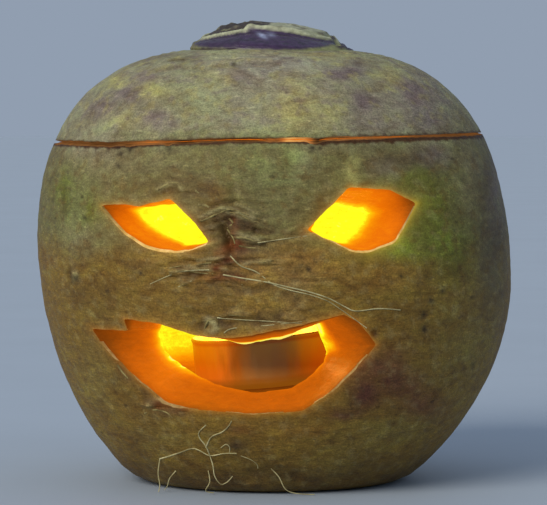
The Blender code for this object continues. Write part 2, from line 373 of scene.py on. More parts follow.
def fleshMaterial():
    material, tree, shader = newMaterial("glowing_flesh", Roughness=0.5, Specular_IOR_Level=0.05,
                                         Base_Color=(0.10, 0.030, 0.003, 1.0), Emission_Strength=1.0)
    fibre = noiseIn(tree, 1.4, (0.5, 0.5, 1.4), 5.0, 0.6, 0.4)
    grain = noiseIn(tree, 0.45, detail=3.0, roughness=0.7)
    glow = sumIn(tree, paintedIn(tree, "glow", "Fac"), spanIn(tree, fibre, 0.3, 0.7, -0.035, 0.035))
    glow = sumIn(tree, glow, spanIn(tree, grain, 0.3, 0.7, -0.02, 0.02))
    feed(tree, shader, Emission_Color=rampIn(tree, glow, glowStops),
         Normal=bumpIn(tree, grain, 0.06, bumpIn(tree, fibre, 0.25)))
    return material


# the flesh in the seam, dried brown, with the candlelight in the gap painted on as glow
seamGlowStops = ((0.0, (0.02, 0.008, 0.003)), (0.25, (0.13, 0.052, 0.014)), (0.5, (0.38, 0.135, 0.032)),
            (0.75, (0.62, 0.30, 0.08)), (1.0, (0.85, 0.50, 0.15)))


def driedGlowingFleshMaterial():
    material, tree, shader = newMaterial("dried_glowing_flesh", Roughness=0.8, Specular_IOR_Level=0.05,
                                         Base_Color=(0.09, 0.045, 0.015, 1.0), Emission_Strength=1.0)
    grain = noiseIn(tree, 0.6, (1.0, 1.0, 2.0), 3.0, 0.7)
    glow = sumIn(tree, paintedIn(tree, "glow", "Fac"), spanIn(tree, grain, 0.3, 0.7, -0.05, 0.05))
    feed(tree, shader, Emission_Color=rampIn(tree, glow, seamGlowStops), Normal=bumpIn(tree, grain, 0.15))
    return material


# the pale rind that the knife trimmed: its shades, and how they dull and glow from the mouth to the eyes
rindStops = ((0.34, (0.24, 0.15, 0.05)), (0.5, (0.44, 0.32, 0.14)), (0.66, (0.64, 0.50, 0.26)))
rindDulling = ((0.0, (0.75, 0.70, 0.58)), (0.5, (1.0, 0.95, 0.85)), (0.7, (0.95, 0.90, 0.80)),
               (0.86, (0.55, 0.56, 0.45)))
rindGlow = ((0.0, (0.06, 0.024, 0.002)), (0.5, (0.42, 0.26, 0.050)), (0.7, (0.38, 0.235, 0.045)),
            (0.86, (0.10, 0.07, 0.016)))


def rimMaterial():
    material, tree, shader = newMaterial("trimmed_rind", Roughness=0.5, Specular_IOR_Level=0.2,
                                         Emission_Strength=1.0)
    height = spanIn(tree, heightIn(tree), 44.0, 70.0)
    rind = rampIn(tree, noiseIn(tree, 2.2, roughness=0.6), rindStops)
    grain = noiseIn(tree, 0.5, detail=3.0, roughness=0.7)
    feed(tree, shader, Base_Color=timesIn(tree, rind, rampIn(tree, height, rindDulling), 1.0),
         Emission_Color=rampIn(tree, height, rindGlow), Normal=bumpIn(tree, grain, 0.08))
    return material


# the crown's cut leaf bases: glossy purple sides, pale rims, a dry dark scar
def crownMaterial():
    material, tree, shader = newMaterial("cut_crown", Specular_IOR_Level=0.5)
    fine = noiseIn(tree, 0.9, (0.6, 0.6, 1.0), 5.0, 0.65, 0.3)
    grain = noiseIn(tree, 0.35, detail=3.0, roughness=0.7)
    colour = paintedIn(tree, "tone")
    colour = mottledIn(tree, colour, fine, 0.20, (0.55, 0.55, 0.55), (1.40, 1.40, 1.35), 0.8)
    feed(tree, shader, Base_Color=colour, Normal=bumpIn(tree, grain, 0.05, bumpIn(tree, fine, 0.16)),
         Roughness=spanIn(tree, paintedIn(tree, "gloss", "Fac"), 0.0, 1.0, 0.72, 0.22))
    return material


def rootMaterial():
    shades = ((0.32, (0.22, 0.17, 0.07)), (0.5, (0.46, 0.39, 0.18)), (0.68, (0.66, 0.58, 0.30)))
    return patchyMaterial("dry_rootlet", 3.0, shades, grit=(0.4, 0.05), coarse=0.6, Roughness=0.6,
                          Specular_IOR_Level=0.3)


def veinMaterial():
    shades = ((0.35, (0.14, 0.092, 0.026)), (0.5, (0.25, 0.19, 0.066)), (0.66, (0.38, 0.305, 0.11)))
    return patchyMaterial("skin_vein", 1.6, shades, grit=(0.4, 0.08), coarse=0.6, Roughness=0.6,
                          Specular_IOR_Level=0.2)


# pressed foil: its shades from left to right are painted reflection over what it truly mirrors, orange
# where lit flesh is mirrored and dark where none is, and a painted glow on its foot
foilPaintedReflections = ((0.0, (0.78, 0.30, 0.12)), (0.20, (0.74, 0.25, 0.06)), (0.30, (0.38, 0.15, 0.026)),
              (0.40, (0.25, 0.14, 0.055)), (0.64, (0.25, 0.14, 0.065)), (0.78, (0.46, 0.16, 0.035)),
              (1.0, (0.72, 0.18, 0.045)))
foilFoot = ((0.0, (0.0, 0.0, 0.0)), (0.6, (0.12, 0.038, 0.002)), (1.0, (0.20, 0.062, 0.003)))


def foilMaterial():
    material, tree, shader = newMaterial("aluminium_foil", Metallic=1.0, Emission_Strength=1.0)
    drawn = noiseIn(tree, 3.0, (1.0, 1.0, 0.4), 4.0, 0.5)
    place = addNode(tree, "SeparateXYZ", {"Vector": placeIn(tree)})
    across = sumIn(tree, place.outputs["X"], spanIn(tree, drawn, 0.3, 0.7, -1.2, 1.2))
    low = spanIn(tree, place.outputs["Z"], 30.0, 25.8)
    feed(tree, shader, Base_Color=rampIn(tree, spanIn(tree, across, -20.0, 18.0), foilPaintedReflections),
         Emission_Color=rampIn(tree, low, foilFoot), Roughness=spanIn(tree, drawn, 0.3, 0.7, 0.44, 0.54),
         Normal=bumpIn(tree, drawn, 0.03))
    return material


def litFoilMaterial():
    glare = ((0.35, (0.80, 0.55, 0.04)), (0.65, (0.98, 0.85, 0.13)))
    return patchyMaterial("lit_foil", 3.0, glows=glare, Metallic=1.0, Roughness=0.4,
                          Base_Color=(0.8, 0.5, 0.2, 1.0), Emission_Strength=1.0)


# melted wax: its own pale colour, and a glow that is painted light from the flame
def glowingWaxMaterial():
    return patchyMaterial("candle_wax", 4.0, ((0.35, (0.80, 0.72, 0.55)), (0.65, (0.92, 0.86, 0.72))),
                          ((0.35, (0.70, 0.32, 0.05)), (0.65, (0.90, 0.46, 0.08))), Roughness=0.3,
                          Specular_IOR_Level=0.4, Emission_Strength=1.0)


def wickMaterial():
    return patchyMaterial("charred_wick", 0.5, ((0.4, (0.012, 0.010, 0.008)), (0.6, (0.07, 0.055, 0.04))),
                          grit=(0.5, 0.15), stretch=(1.0, 1.0, 2.0), Roughness=0.9)


# blue at the foot, yellow-white above
flameStops = ((0.0, (0.25, 0.22, 0.6)), (0.22, (1.0, 0.55, 0.12)), (0.5, (1.0, 0.86, 0.42)),
              (1.0, (1.0, 0.62, 0.10)))


def flameMaterial(foot, tip):
    material, tree, shader = newMaterial("flame", Roughness=1.0, Specular_IOR_Level=0.0,
                                         Base_Color=(0.9, 0.5, 0.1, 1.0), Emission_Strength=3.0)
    feed(tree, shader, Emission_Color=rampIn(tree, spanIn(tree, heightIn(tree), foot, tip), flameStops))
    return material


# the skin's relief
relief = {    # height, size along the axes and seed of each
    "lumps": (0.42, 30.0, 1.3), "swells": (0.16, 9.0, 2.1), "rings": (0.07, (12.0, 12.0, 1.5), 4.4),
    "grit": (0.05, 2.2, 7.7),
}
folds = {    # depths, how far from the middle those round the crown lie, and how many run up from the base
    "face": 0.55, "crown": 0.30, "crownRadius": 24.5, "base": 0.22, "baseCount": 9.0,
}
foldFields = (    # soft ovals, with the strength of the folds on the face
    (-7, 62, 15, 9.5, 1), (-2, 43.6, 13, 3, 1), (-14, 52.5, 12, 4, 0.7), (-25, 74.5, 6, 2.5, 0.7),
    (-29, 24, 8, 4.5, 0.7), (16, 52, 10, 4, 0.35),
)
creases = (    # points (x, z), depth, half width; a negative depth stands proud
    (((-9.4, 68.2), (-9.9, 66.4), (-9.6, 64.6)), 0.9, 1.1), (((-10.6, 63.4), (-10, 61)), 0.7, 1),
    (((-9.2, 73.5), (-8.6, 70.4)), 0.4, 0.9), (((-9.4, 59.6), (-10.2, 57.6), (-9.6, 55.6)), 0.45, 0.8),
    (((-13.8, 67.6), (-11.6, 65), (-10.2, 61)), 0.5, 0.8),
    (((-16.6, 66.8), (-14, 68), (-11.6, 69.1), (-9.2, 68.7), (-6.6, 67.7), (-4, 66.8)), -0.6, 0.55),
    (((-10.2, 68), (-7.4, 67), (-4.4, 66.1)), -0.45, 0.45),
    (((-8.2, 69.9), (-5.4, 68.8), (-3, 67.6)), -0.35, 0.45),
    (((-12, 66.6), (-8, 67.2), (-4, 65)), 0.55, 0.9),
    (((-8, 62.4), (-5.6, 62.6), (-3.2, 61.6)), -0.5, 0.8),
    (((-20.5, 55.4), (-15, 55.8), (-10.5, 55)), -0.35, 0.5),
    (((-15, 57.4), (-10, 56.6), (-5, 57.2), (1, 56.4)), 0.35, 0.8),
    (((-13, 51.8), (-6, 50.6), (0, 49.6), (6, 48)), 0.3, 0.9),
    (((-26.4, 73), (-24.2, 74.3), (-21.8, 74.7), (-20.8, 73.2)), -0.45, 0.6),
    (((-27, 71.8), (-24.4, 73), (-22.2, 73.4)), 0.5, 0.7),
    (((-14.8, 43.2), (-13.4, 42.6), (-12.8, 41.2), (-13.8, 40.4)), -0.7, 0.9),
    (((-16.2, 41.8), (-14.6, 43.9), (-12, 43.4)), 0.6, 0.8),
    (((-11.6, 42.2), (-6, 42.4), (0, 42.3)), 0.45, 0.7),
    (((-36, 31.6), (-35, 29.8), (-33.8, 28.4)), 0.9, 1.5),
    (((-29, 22.2), (-26.4, 23.4), (-24.4, 22.4), (-21.4, 21.4)), -0.6, 0.9),
    (((-27.4, 21.4), (-24, 21), (-20.6, 20.2)), 0.8, 1), (((-46.6, 53), (-46.5, 51.8)), -0.7, 0.8),
    (((-47.9, 53.4), (-47.8, 51.4)), 0.5, 0.6), (((23.8, 39.8), (24, 39.2)), 0.9, 0.7),
    (((35.6, 44), (35.8, 43.4)), 0.5, 0.6), (((35.8, 40.4), (35.9, 39.8)), 0.5, 0.6),
    (((-6.9, 56), (-4.8, 56.7), (-1.9, 56.9), (-0.3, 57.1)), -0.5, 0.4),
    (((-16.8, 55.5), (-13.5, 56), (-10.2, 56), (-7.4, 55.2)), 0.7, 0.4),
    (((-11.5, 65.1), (-9.8, 61.7), (-9.4, 58.9)), 0.8, 0.7),
    (((-17.2, 56.9), (-13.9, 57.3), (-11, 57.7)), -0.5, 0.4),
    (((-23.4, 56.1), (-19.3, 56.5), (-16.4, 56.9)), 0.5, 0.4),
    (((-23.4, 54.2), (-17.2, 55), (-13.5, 54.8)), -0.5, 0.4),
    (((-23, 52.9), (-18, 53.6), (-13, 53.4)), 0.6, 0.4),
    (((-6.9, 60.9), (-4, 60.3), (-1.5, 60.4)), 0.6, 0.5),
    (((-3.8, 64), (-1.6, 63.4), (0.6, 63.5)), 0.3, 0.5), (((-21, 51), (-18.1, 52.6)), -0.4, 0.3),
    (((-7.8, 64.2), (-5.2, 64.4), (-3, 63.6)), 0.6, 0.5),
    (((-14.6, 68.8), (-11.6, 70), (-8.8, 70.6)), 0.4, 0.5), (((-4.6, 5.6), (1, 6.4), (6, 5)), 0.4, 1.2),
    (((4, 60.4), (8, 56), (10.4, 52.4)), 0.25, 0.6),
    (((-27.5, 100.6), (-22, 101.6), (-16.5, 101.2)), 0.5, 0.5),
    (((-24.5, 103.2), (-21, 103.5)), 0.6, 0.4), (((-14, 102.6), (-6, 103.6), (0, 103.4)), -0.4, 0.4),
    (((-14, 101.6), (-5, 102.4), (2, 102.2)), 0.4, 0.4),
)


def nearness(flat, line):
    # from each (x, z) place to the nearest point of a line
    nearest = np.full(len(flat), 1e9)
    for start, end in zip(np.array(line), np.array(line[1:])):
        along = end - start
        share = np.clip(((flat - start) @ along) / (along @ along), 0.0, 1.0)
        nearest = np.minimum(nearest, np.hypot(*(flat - start - share[:, None] * along).T))
    return nearest


def foldPattern(places):
    # narrow folds that run across the face: above 0 in a groove, below 0 on the crest beside it
    bent = places + np.outer(1.6 * noiseAt(places, 7.0, 9.0), (0.0, 0.0, 1.0))
    wave = noiseAt(bent, (8.0, 8.0, 1.5), 3.3)
    pattern = ridges(wave) - 0.6 * bell(wave, 0.42, 0.16)
    return pattern * np.minimum(ovalSum(places[:, 0], places[:, 2], foldFields), 1.2)


def reliefOf(places):
    # how far each place of the smooth skin stands out
    x, y, z = places.T
    around = np.hypot(x, y)
    out = sum(height * noiseAt(places, size, seed) for height, size, seed in relief.values())
    swirl = np.sin(2.6 * (around + 1.6 * noiseAt(places, 9.0, 3.0))) * (0.6 + noiseAt(places, 14.0, 6.0))
    out += folds["crown"] * bell(around, folds["crownRadius"], 5.5) * smooth(98.0, 101.0, z) * swirl
    turns = folds["baseCount"] * np.arctan2(x, -y) + 2.5 * noiseAt(places, 16.0, 8.0)
    out += folds["base"] * smooth(14.0, 3.0, z) * np.sin(turns)
    front = y < -20.0
    flat = places[front][:, (0, 2)]
    waver = 0.35 * noiseAt(places[front], 2.0, 5.0)
    carved = -folds["face"] * foldPattern(places[front])
    for line, depth, half in creases:
        carved -= depth * bell(nearness(flat, line) + waver, 0.0, half)
    out[front] += carved
    return out * smooth(turnip["baseEdge"] - 0.1, turnip["baseEdge"] + 3.0, z)


def roughen(bm):
    bm.normal_update()
    places = placesOf(bm)
    normals = np.array([vert.normal[:] for vert in bm.verts])
    movePlaces(bm, places + normals * reliefOf(places)[:, None])


# the seam between body and lid: wavy, almost touching inside, with broken edges at the skin
seam = {"height": 84.3, "rise": 0.021, "gap": 0.34, "opening": 0.0048, "touch": 0.20, "edge": 0.24,
        "edgeWidth": 0.7, "wave": 0.12, "grit": 0.10, "columns": 420}
seamDips = ((-38, 6.5, -0.4), (-10, 8, 0.3), (10.4, 1.6, -0.35))     # x, half width, lift
seamNicks = ((-33.4, 0.5, 0.5), (-24.2, 0.6, 0.5), (9.6, 1, 0.3), (-38, 1, 0.2))     # x, half width, depth


def seamAt(x, y):
    # the height of the cut; it only strays from its plane in front
    return seam["height"] + seam["rise"] * x + bellSum(x, seamDips) * smooth(0.0, -15.0, y)


def seamCutter(above, looks):
    # above the seam it shapes the body's top, below it the lid's underside
    side = 1.0 if above else -1.0
    outside = float(skinRadius(seam["height"]))
    radii = [outside + step for step in (8.0, 1.2, 0.25, -0.15, -0.45, -0.8, -1.6, -3.5, -8.0, -15.0)]
    radii += [30.0, 16.0]
    far = Vector((0.0, 0.0, 60.0 * side))
    middle = Vector((0.0, 0.0, seam["height"]))

    def place(column, row):
        if row in (0, len(radii) + 2):
            return middle + far if row == 0 else middle
        turn = 2.0 * pi * column / seam["columns"]
        if row == 1:
            return grown(radii[0], turn, seam["height"]) + far
        radius = radii[row - 2]
        spot = grown(radius, turn, seam["height"])
        outer = float(smooth(outside - 5.0, outside - 0.5, radius))
        gap = seam["touch"] + (seam["gap"] - seam["opening"] * spot.y - seam["touch"]) * outer
        atEdge = 1.0 + (radius - outside) / seam["edgeWidth"]
        broken = seam["edge"] * min(max(atEdge, 0.0), 1.4)
        ragged = seam["wave"] * (1.0 + 1.2 * float(smooth(-28.0, -40.0, spot.x)))
        wave = ragged * (noiseAt(spot, 6.0, 0.5 + side)[0] + 0.6 * noiseAt(spot, 1.7, 3.0 + side)[0])
        wave += seam["grit"] * outer * noiseAt(spot, 0.8, 7.0 + side)[0]
        nick = float(bellSum(spot.x, seamNicks)) * outer if spot.y < 0.0 else 0.0
        spot.z = float(seamAt(spot.x, spot.y)) + wave
        spot.z += -broken - nick if above else gap + broken
        return spot

    bm = rolled(seam["columns"], len(radii) + 3, place, lambda column, row: 3)
    return writeMesh(bm, "seam", looks)


# knife cuts: corners as (x, z) on the skin, then (x, z) on the hollow's wall
leftEye = (
    ((-39.8, 69), (-31.5, 67.2)), ((-35, 69.6), (-30, 68.2)), ((-31, 69.1), (-27.6, 68.6)),
    ((-27.5, 70), (-24.4, 68.9)), ((-23.6, 71), (-21, 69.2)), ((-18.7, 66.7), (-16, 65.4)),
    ((-14.5, 61.3), (-12, 60.9)), ((-18.4, 59.5), (-16.4, 60)), ((-21.8, 58.9), (-19.8, 59.5)),
    ((-25.8, 59.3), (-22.6, 60.9)), ((-29.6, 60.3), (-25.6, 62.4)), ((-34.5, 63.2), (-28.6, 64.2)),
)
rightEye = (
    ((8.1, 64), (9.4, 63.5)), ((13, 69), (10.2, 66.6)), ((17.9, 73.8), (14.7, 69.2)),
    ((22.6, 73.4), (17.6, 68.4)), ((27.4, 73), (20.6, 67.8)), ((33.7, 69.8), (22, 66.8)),
    ((31.3, 65.4), (20.6, 64.4)), ((28.7, 61.2), (18.8, 62)), ((22.6, 59), (17, 60.2)),
    ((18.6, 59.2), (14.2, 60.6)), ((12.6, 62), (9.2, 62.2)),
)
mouth = (
    ((-42.2, 39.7), (-26.9, 38.3)), ((-33.6, 39.9), (-26.4, 39.5)), ((-34.5, 42.7), (-25.8, 40.6)),
    ((-26.1, 41.9), (-22.6, 40.6)), ((-17.2, 39.3), (-16, 38.6)), ((-11.1, 38.9), (-11, 37.2)),
    ((-8.2, 39.1), (-7.2, 36.1)), ((-3.7, 39.9), (-3.8, 36.6)), ((4.2, 41.5), (2.8, 37.7)),
    ((11.1, 43.2), (6.8, 39.5)), ((16.6, 44.5), (10.3, 41)), ((19.8, 42.8), (11.3, 38.2)),
    ((24.2, 37.2), (13, 34.2)), ((18.6, 31), (12.2, 31.6)), ((14, 26.3), (9.6, 28.6)),
    ((7, 21.6), (4.6, 25.2)), ((-5, 20.8), (-4, 24.1)), ((-20.2, 21.8), (-13.6, 26)),
    ((-24.9, 22.9), (-17.2, 27.8)), ((-28.2, 25.6), (-19.8, 29.2)), ((-34, 30.1), (-23.6, 31.8)),
    ((-38.8, 35.2), (-26.5, 34.8)),
)
knife = {"step": 0.7, "rings": 15, "overrun": 0.45, "rimDepth": 0.025, "rimFlare": 0.55, "rimStart": 0.12,
         "wobble": 0.16, "slices": 0.22}
rinds = (    # soft ovals where the knife left pale rind along a lower edge, with its width
    (-25.5, 62, 21, 11, 0.56), (27.5, 62, 10, 7, 0.95), (16, 58.5, 5, 4, 0.4), (-33, 29.5, 6.5, 7, 0.9),
    (-24.5, 22.5, 5, 3, 1), (16.5, 28.5, 6.5, 7, 0.62), (-3, 20.5, 9, 2, 0.25),
)


def refined(corners):
    # both outlines at the knife's step, with soft corners, as complex numbers x + zi
    corners = [[complex(*end) for end in corner] for corner in corners]
    lines = []
    for end in (0, 1):
        line = []
        for before, corner in zip(corners[-1:] + corners[:-1], corners):
            count = max(int(abs(corner[0] - before[0]) / knife["step"]), 1)
            line += [before[end] + (corner[end] - before[end]) * part / count for part in range(count)]
        line = np.array(line)
        lines.append((np.roll(line, 1) + 2.0 * line + np.roll(line, -1)) / 4.0)
    return lines


def openingCutter(corners, seed, looks):
    skin, wall = refined(corners)
    along = np.roll(skin, -1) - np.roll(skin, 1)
    out = along / np.abs(along) * 1j
    if np.sum(skin.real * np.roll(skin.imag, -1) - np.roll(skin.real, -1) * skin.imag) > 0.0:
        out = -out
    spots = np.column_stack((skin.real, np.full(len(skin), seed), skin.imag))
    wobble = knife["wobble"] * (noiseAt(spots, 2.2) + 0.5 * noiseAt(spots, 0.9, 5.0))
    skin, wall = skin + out * wobble, wall + out * wobble
    onSkin = np.column_stack((skin.real, skinDepth(skin.real, skin.imag), skin.imag))
    inside = np.sqrt(np.maximum(hollowRadius(wall.imag) ** 2 - wall.real ** 2, 1.0))
    onWall = np.column_stack((wall.real, -inside, wall.imag))
    side = np.column_stack((out.real, np.zeros(len(out)), out.imag))
    lower = smooth(0.35, -0.25, out.imag)      # the lower edges are trimmed, the upper ones aren't
    width = ovalSum(skin.real, skin.imag, rinds)
    flare = knife["rimFlare"] * lower * width * (1.0 + 0.5 * noiseAt(onSkin, 3.0, seed))
    trimmed = flare > knife["rimStart"] * knife["rimFlare"]
    depths = [-knife["overrun"], 0.0] + np.linspace(knife["rimDepth"], 1.0, knife["rings"] + 1).tolist()
    depths.append(1.0 + knife["overrun"])
    rings = []
    for depth in depths:
        ring = onSkin + (onWall - onSkin) * depth
        if depth <= knife["rimDepth"]:
            ring += side * (flare * (knife["rimDepth"] - depth) / knife["rimDepth"])[:, None]
        else:
            ring += side * (knife["slices"] * noiseAt(ring, (2.6, 1.1, 2.6), seed))[:, None]
        rings.append(ring)
    ends = [rings[0].mean(axis=0), rings[-1].mean(axis=0)]
    ends[0][1] = rings[0][:, 1].min() - 8.0
    ends[1][1] = rings[-1][:, 1].max()

    def place(column, row):
        if row in (0, len(rings) + 1):
            return ends[0] if row == 0 else ends[1]
        return rings[row - 1][column]

    bm = rolled(len(skin), len(rings) + 2, place,
                lambda column, row: 2 if row in (1, 2) and trimmed[column] else 1)
    return writeMesh(bm, "opening", looks)


# colours of the skin, painted in soft patches with uneven edges
tones = {
    "cream": (0.290, 0.270, 0.145), "ash": (0.400, 0.375, 0.270), "gold": (0.410, 0.355, 0.115),
    "sage": (0.285, 0.295, 0.130), "dusk": (0.190, 0.140, 0.125), "mauve": (0.245, 0.190, 0.150),
    "moss": (0.195, 0.200, 0.065),
    "olive": (0.165, 0.138, 0.046), "sand": (0.225, 0.183, 0.082), "ochre": (0.222, 0.130, 0.022),
    "amber": (0.300, 0.160, 0.030), "umber": (0.150, 0.085, 0.020), "bark": (0.075, 0.045, 0.018),
    "rust": (0.190, 0.050, 0.018), "green": (0.150, 0.158, 0.024), "lime": (0.220, 0.260, 0.030),
    "tan": (0.225, 0.158, 0.036), "plum": (0.115, 0.042, 0.026), "wine": (0.170, 0.072, 0.028),
    # edge is a painted shade, darkening the right side away from the key light
    # the darkest tone here marks dark spots on the skin, and also paints the shade in the seam's nicks
    "edge": (0.120, 0.090, 0.042), "straw": (0.420, 0.360, 0.160), "pitAndShade": (0.035, 0.022, 0.012),
    # the seam's edge tone: dried brown flesh, darkened further as painted shade in the gap
    "driedEdgeAndShade": (0.062, 0.020, 0.006), "sore": (0.150, 0.042, 0.012),
    "violet": (0.048, 0.022, 0.062), "ink": (0.030, 0.018, 0.036), "leafRim": (0.48, 0.48, 0.30),
    "leafGreen": (0.25, 0.25, 0.10), "scar": (0.050, 0.036, 0.030), "leafCut": (0.38, 0.38, 0.24),
    # gleam is the colour of a painted highlight
    "brown": (0.13, 0.095, 0.055), "gleam": (0.42, 0.46, 0.66),
}
patches = (    # soft ovals on the front, after the tone of each
    ("dusk", -34, 95, 4, 2.5, 0.9), ("dusk", -41, 91.5, 4.5, 3, 0.7), ("mauve", -30, 99.5, 6, 2.5, 0.6),
    ("dusk", -27, 90, 3.5, 2.5, 0.7), ("gold", -28, 96, 3, 1.8, 0.5), ("gold", -37, 98.5, 2.6, 1.5, 0.6),
    ("gold", -35, 89, 4, 2, 0.4), ("bark", -21, 103.3, 2.6, 0.7, 0.5), ("gold", -14, 99, 4.5, 2.6, 0.5),
    ("sage", -17, 94, 8, 5, 0.7), ("mauve", -7, 99.5, 4.5, 2.6, 0.6), ("dusk", 2.6, 100, 3.4, 2.4, 0.7),
    ("mauve", -2, 103, 12, 1.6, 0.5), ("gold", 5, 93, 4.6, 6, 0.95), ("gold", 13.5, 92, 3.4, 5, 0.4),
    ("mauve", -7, 91, 4, 5, 0.4), ("dusk", 17.5, 100, 5, 2.2, 0.85), ("dusk", 21.5, 93, 5, 4, 0.7),
    ("mauve", 13, 96.5, 3, 2.5, 0.5), ("gold", 28.5, 99, 3.2, 2.8, 0.6), ("mauve", 34.5, 95, 7, 5, 0.85),
    ("rust", 33.8, 94.2, 1.3, 1.3, 0.25), ("dusk", 38, 89, 6, 3, 0.7), ("sand", 45.5, 88.5, 4, 3, 0.7),
    ("mauve", 26, 88.5, 6, 2.6, 0.5), ("moss", 5, 85.6, 9, 1.2, 0.5), ("moss", -22, 85.8, 18, 1.2, 0.35),
    ("gold", 15, 104.4, 5, 1, 0.5), ("sand", -43, 80, 8, 5, 0.8), ("moss", -46, 69, 4, 8, 0.8),
    ("green", -49.5, 72, 3, 5, 0.6), ("green", -42.5, 67.5, 2, 4, 0.6),
    ("sand", -30, 79.5, 12, 3.5, 0.35), ("moss", -2, 77, 9, 6, 0.6), ("lime", 4.5, 80.5, 2.6, 3.4, 0.4),
    # edge here is painted shade on the right side
    ("gold", 19, 77, 1.6, 3.6, 0.5), ("edge", 30, 80, 8, 3, 0.6), ("dusk", 38, 80.5, 4.5, 3, 0.6),
    ("sand", 48, 79, 3.4, 4.4, 0.9), ("sand", 45, 72.5, 5, 5, 0.5), ("umber", -25, 73.5, 8, 2.6, 0.45),
    ("umber", -13, 70, 6, 7, 0.6), ("bark", -10, 64.6, 5.5, 3, 0.75), ("bark", -16, 63.8, 3.2, 1.8, 0.6),
    ("bark", -5.5, 64.2, 3.6, 1.7, 0.5), ("umber", 11.5, 70.5, 3, 4, 0.6),
    ("wine", 7.4, 63.4, 1.4, 1.8, 0.6), ("green", 37.5, 66, 6, 10, 0.95), ("green", 31, 75, 6, 2.4, 0.7),
    ("lime", 30.5, 60.5, 4, 3.4, 0.8), ("green", 44, 57, 6, 6, 0.6), ("lime", 40, 61, 3, 3.4, 0.35),
    # edge here is painted shade down the right side
    ("edge", 53.5, 66, 4.5, 18, 0.95), ("dusk", 55, 72, 3, 8, 0.4), ("amber", 3, 56, 14, 4.6, 0.9),
    ("amber", -2, 47, 6, 3.6, 0.7), ("amber", 27, 53.5, 8, 3, 0.6), ("amber", -28, 57, 7, 1.6, 0.4),
    ("umber", -31.5, 55.3, 4, 1.4, 0.6), ("umber", -9, 49.3, 9, 1.4, 0.45),
    ("rust", -9.6, 57.6, 2.6, 1.9, 0.85), ("rust", -11.4, 53.4, 4, 1.3, 0.7),
    ("bark", -9.8, 55.6, 1.4, 2, 0.15), ("umber", -35, 46.5, 8, 3, 0.45), ("sand", -45, 61, 5, 4, 0.5),
    ("umber", -47, 52, 2.2, 2, 0.6), ("umber", -40, 50, 6, 1.3, 0.35), ("umber", -22, 45.8, 8, 1.8, 0.3),
    # edge here is painted shade down the right side
    ("edge", 51.5, 50, 4.5, 10, 0.6), ("tan", 46, 36, 8, 13, 0.6), ("umber", 36, 42, 2.2, 4, 0.45),
    ("plum", 22, 25, 3.6, 3.4, 0.9), ("plum", 27.5, 28, 4, 3, 0.75), ("wine", 24, 31.5, 5, 3.6, 0.7),
    ("plum", 16.5, 20.6, 3.8, 1.4, 0.75), ("wine", 36, 21, 6, 4, 0.6), ("wine", 32, 25.5, 5, 3.6, 0.5),
    ("tan", 29, 15.5, 10, 3.4, 0.7), ("tan", 17, 11.5, 10, 4, 0.5), ("umber", -35, 28, 3, 3.4, 0.5),
    ("bark", -37, 27.6, 2, 1.4, 0.5), ("bark", -24.5, 20.4, 3.6, 1.4, 0.75),
    ("umber", -28, 22, 5, 3, 0.5), ("tan", -42, 28, 5, 9, 0.6), ("tan", -25, 14.5, 8, 3, 0.5),
    ("umber", -9.5, 14.5, 5, 3, 0.6), ("bark", -8.2, 12.6, 1.8, 1.6, 0.6),
    ("amber", 5, 17, 12, 1.6, 0.35), ("umber", 0, 9.6, 14, 0.9, 0.35), ("tan", 13, 6, 14, 3, 0.4),
    ("umber", -12.6, 41.4, 4.6, 1.9, 0.8), ("bark", -12.2, 41.8, 1.9, 1, 0.6),
    ("umber", 0, 1.5, 40, 2.2, 0.5), ("amber", -14.5, 56.2, 4, 1.2, 0.4),
    ("amber", -5, 53.6, 4, 1.4, 0.4), ("bark", 0, 4, 45, 4.5, 0.55), ("bark", -30, 11.5, 6, 4, 0.26),
    ("bark", -38, 38, 6, 8, 0.16), ("bark", -46, 47, 5, 6, 0.2), ("bark", -36, 16.5, 6, 5, 0.14),
    ("bark", 33.5, 67, 4, 9, 0.22), ("bark", -39.5, 42, 3, 3, 0.2), ("bark", 34, 45, 10, 14, 0.11),
    ("bark", -23, 71.5, 5, 3, 0.2), ("umber", 9.5, 66, 3, 3, 0.3), ("straw", 0.5, 42.6, 6, 1.8, 0.14),
    ("straw", -6, 59.5, 7, 3, 0.14), ("amber", -15, 53.6, 6, 3, 0.35), ("straw", 5, 51.5, 4.5, 5, 0.13),
    ("plum", 28, 34.5, 4.5, 3.4, 0.34), ("plum", 33, 29, 4, 3, 0.26), ("plum", 20, 28.4, 3.6, 4.4, 0.32),
    ("bark", 18, 24, 3, 2.4, 0.22), ("wine", 22, 31, 3.4, 4, 0.26), ("ash", 0, 102, 13, 2.6, 0.5),
    ("ash", 2, 95.4, 9, 3.4, 0.28), ("ash", -43, 83.6, 7, 3, 0.28), ("ash", 6, 81, 4.6, 4.6, 0.12),
    ("ash", -16, 96, 5, 4.5, 0.16), ("mauve", 27, 77.4, 4, 2.2, 0.3),
    ("mauve", -27.6, 88.4, 3.4, 3.6, 0.6), ("gold", -27, 95.4, 3.4, 1.6, 0.35),
    ("dusk", 18, 99.8, 4.6, 1.8, 0.45), ("dusk", 34, 95.4, 4, 2.6, 0.4),
    ("umber", -31.6, 56.6, 4.6, 2, 0.3), ("umber", -45, 46.4, 2.6, 1.2, 0.5),
)
stains = (    # soft ovals over the wrinkles
    ("sore", -7.8, 60.2, 1.7, 1.5, 1), ("sore", -10.4, 59.6, 1.9, 1.2, 0.9),
    ("sore", -13, 59.3, 1.3, 0.7, 0.7), ("sore", -9.2, 57.2, 1.6, 0.8, 0.9),
    ("sore", -12.6, 55.7, 1.7, 0.9, 0.8), ("sore", -8.6, 63.6, 0.9, 1.6, 0.35),
    ("sore", -25.4, 22.6, 3.2, 1, 0.7), ("sore", -21.6, 21.4, 2, 0.8, 0.6),
    ("sore", -7, 16.6, 3, 1.5, 0.35), ("sore", -13.2, 52.8, 1.8, 0.7, 0.55),
    ("sore", -8.2, 52.6, 2.4, 0.7, 0.7), ("sore", -9.4, 66.2, 1, 1.2, 0.35),
)
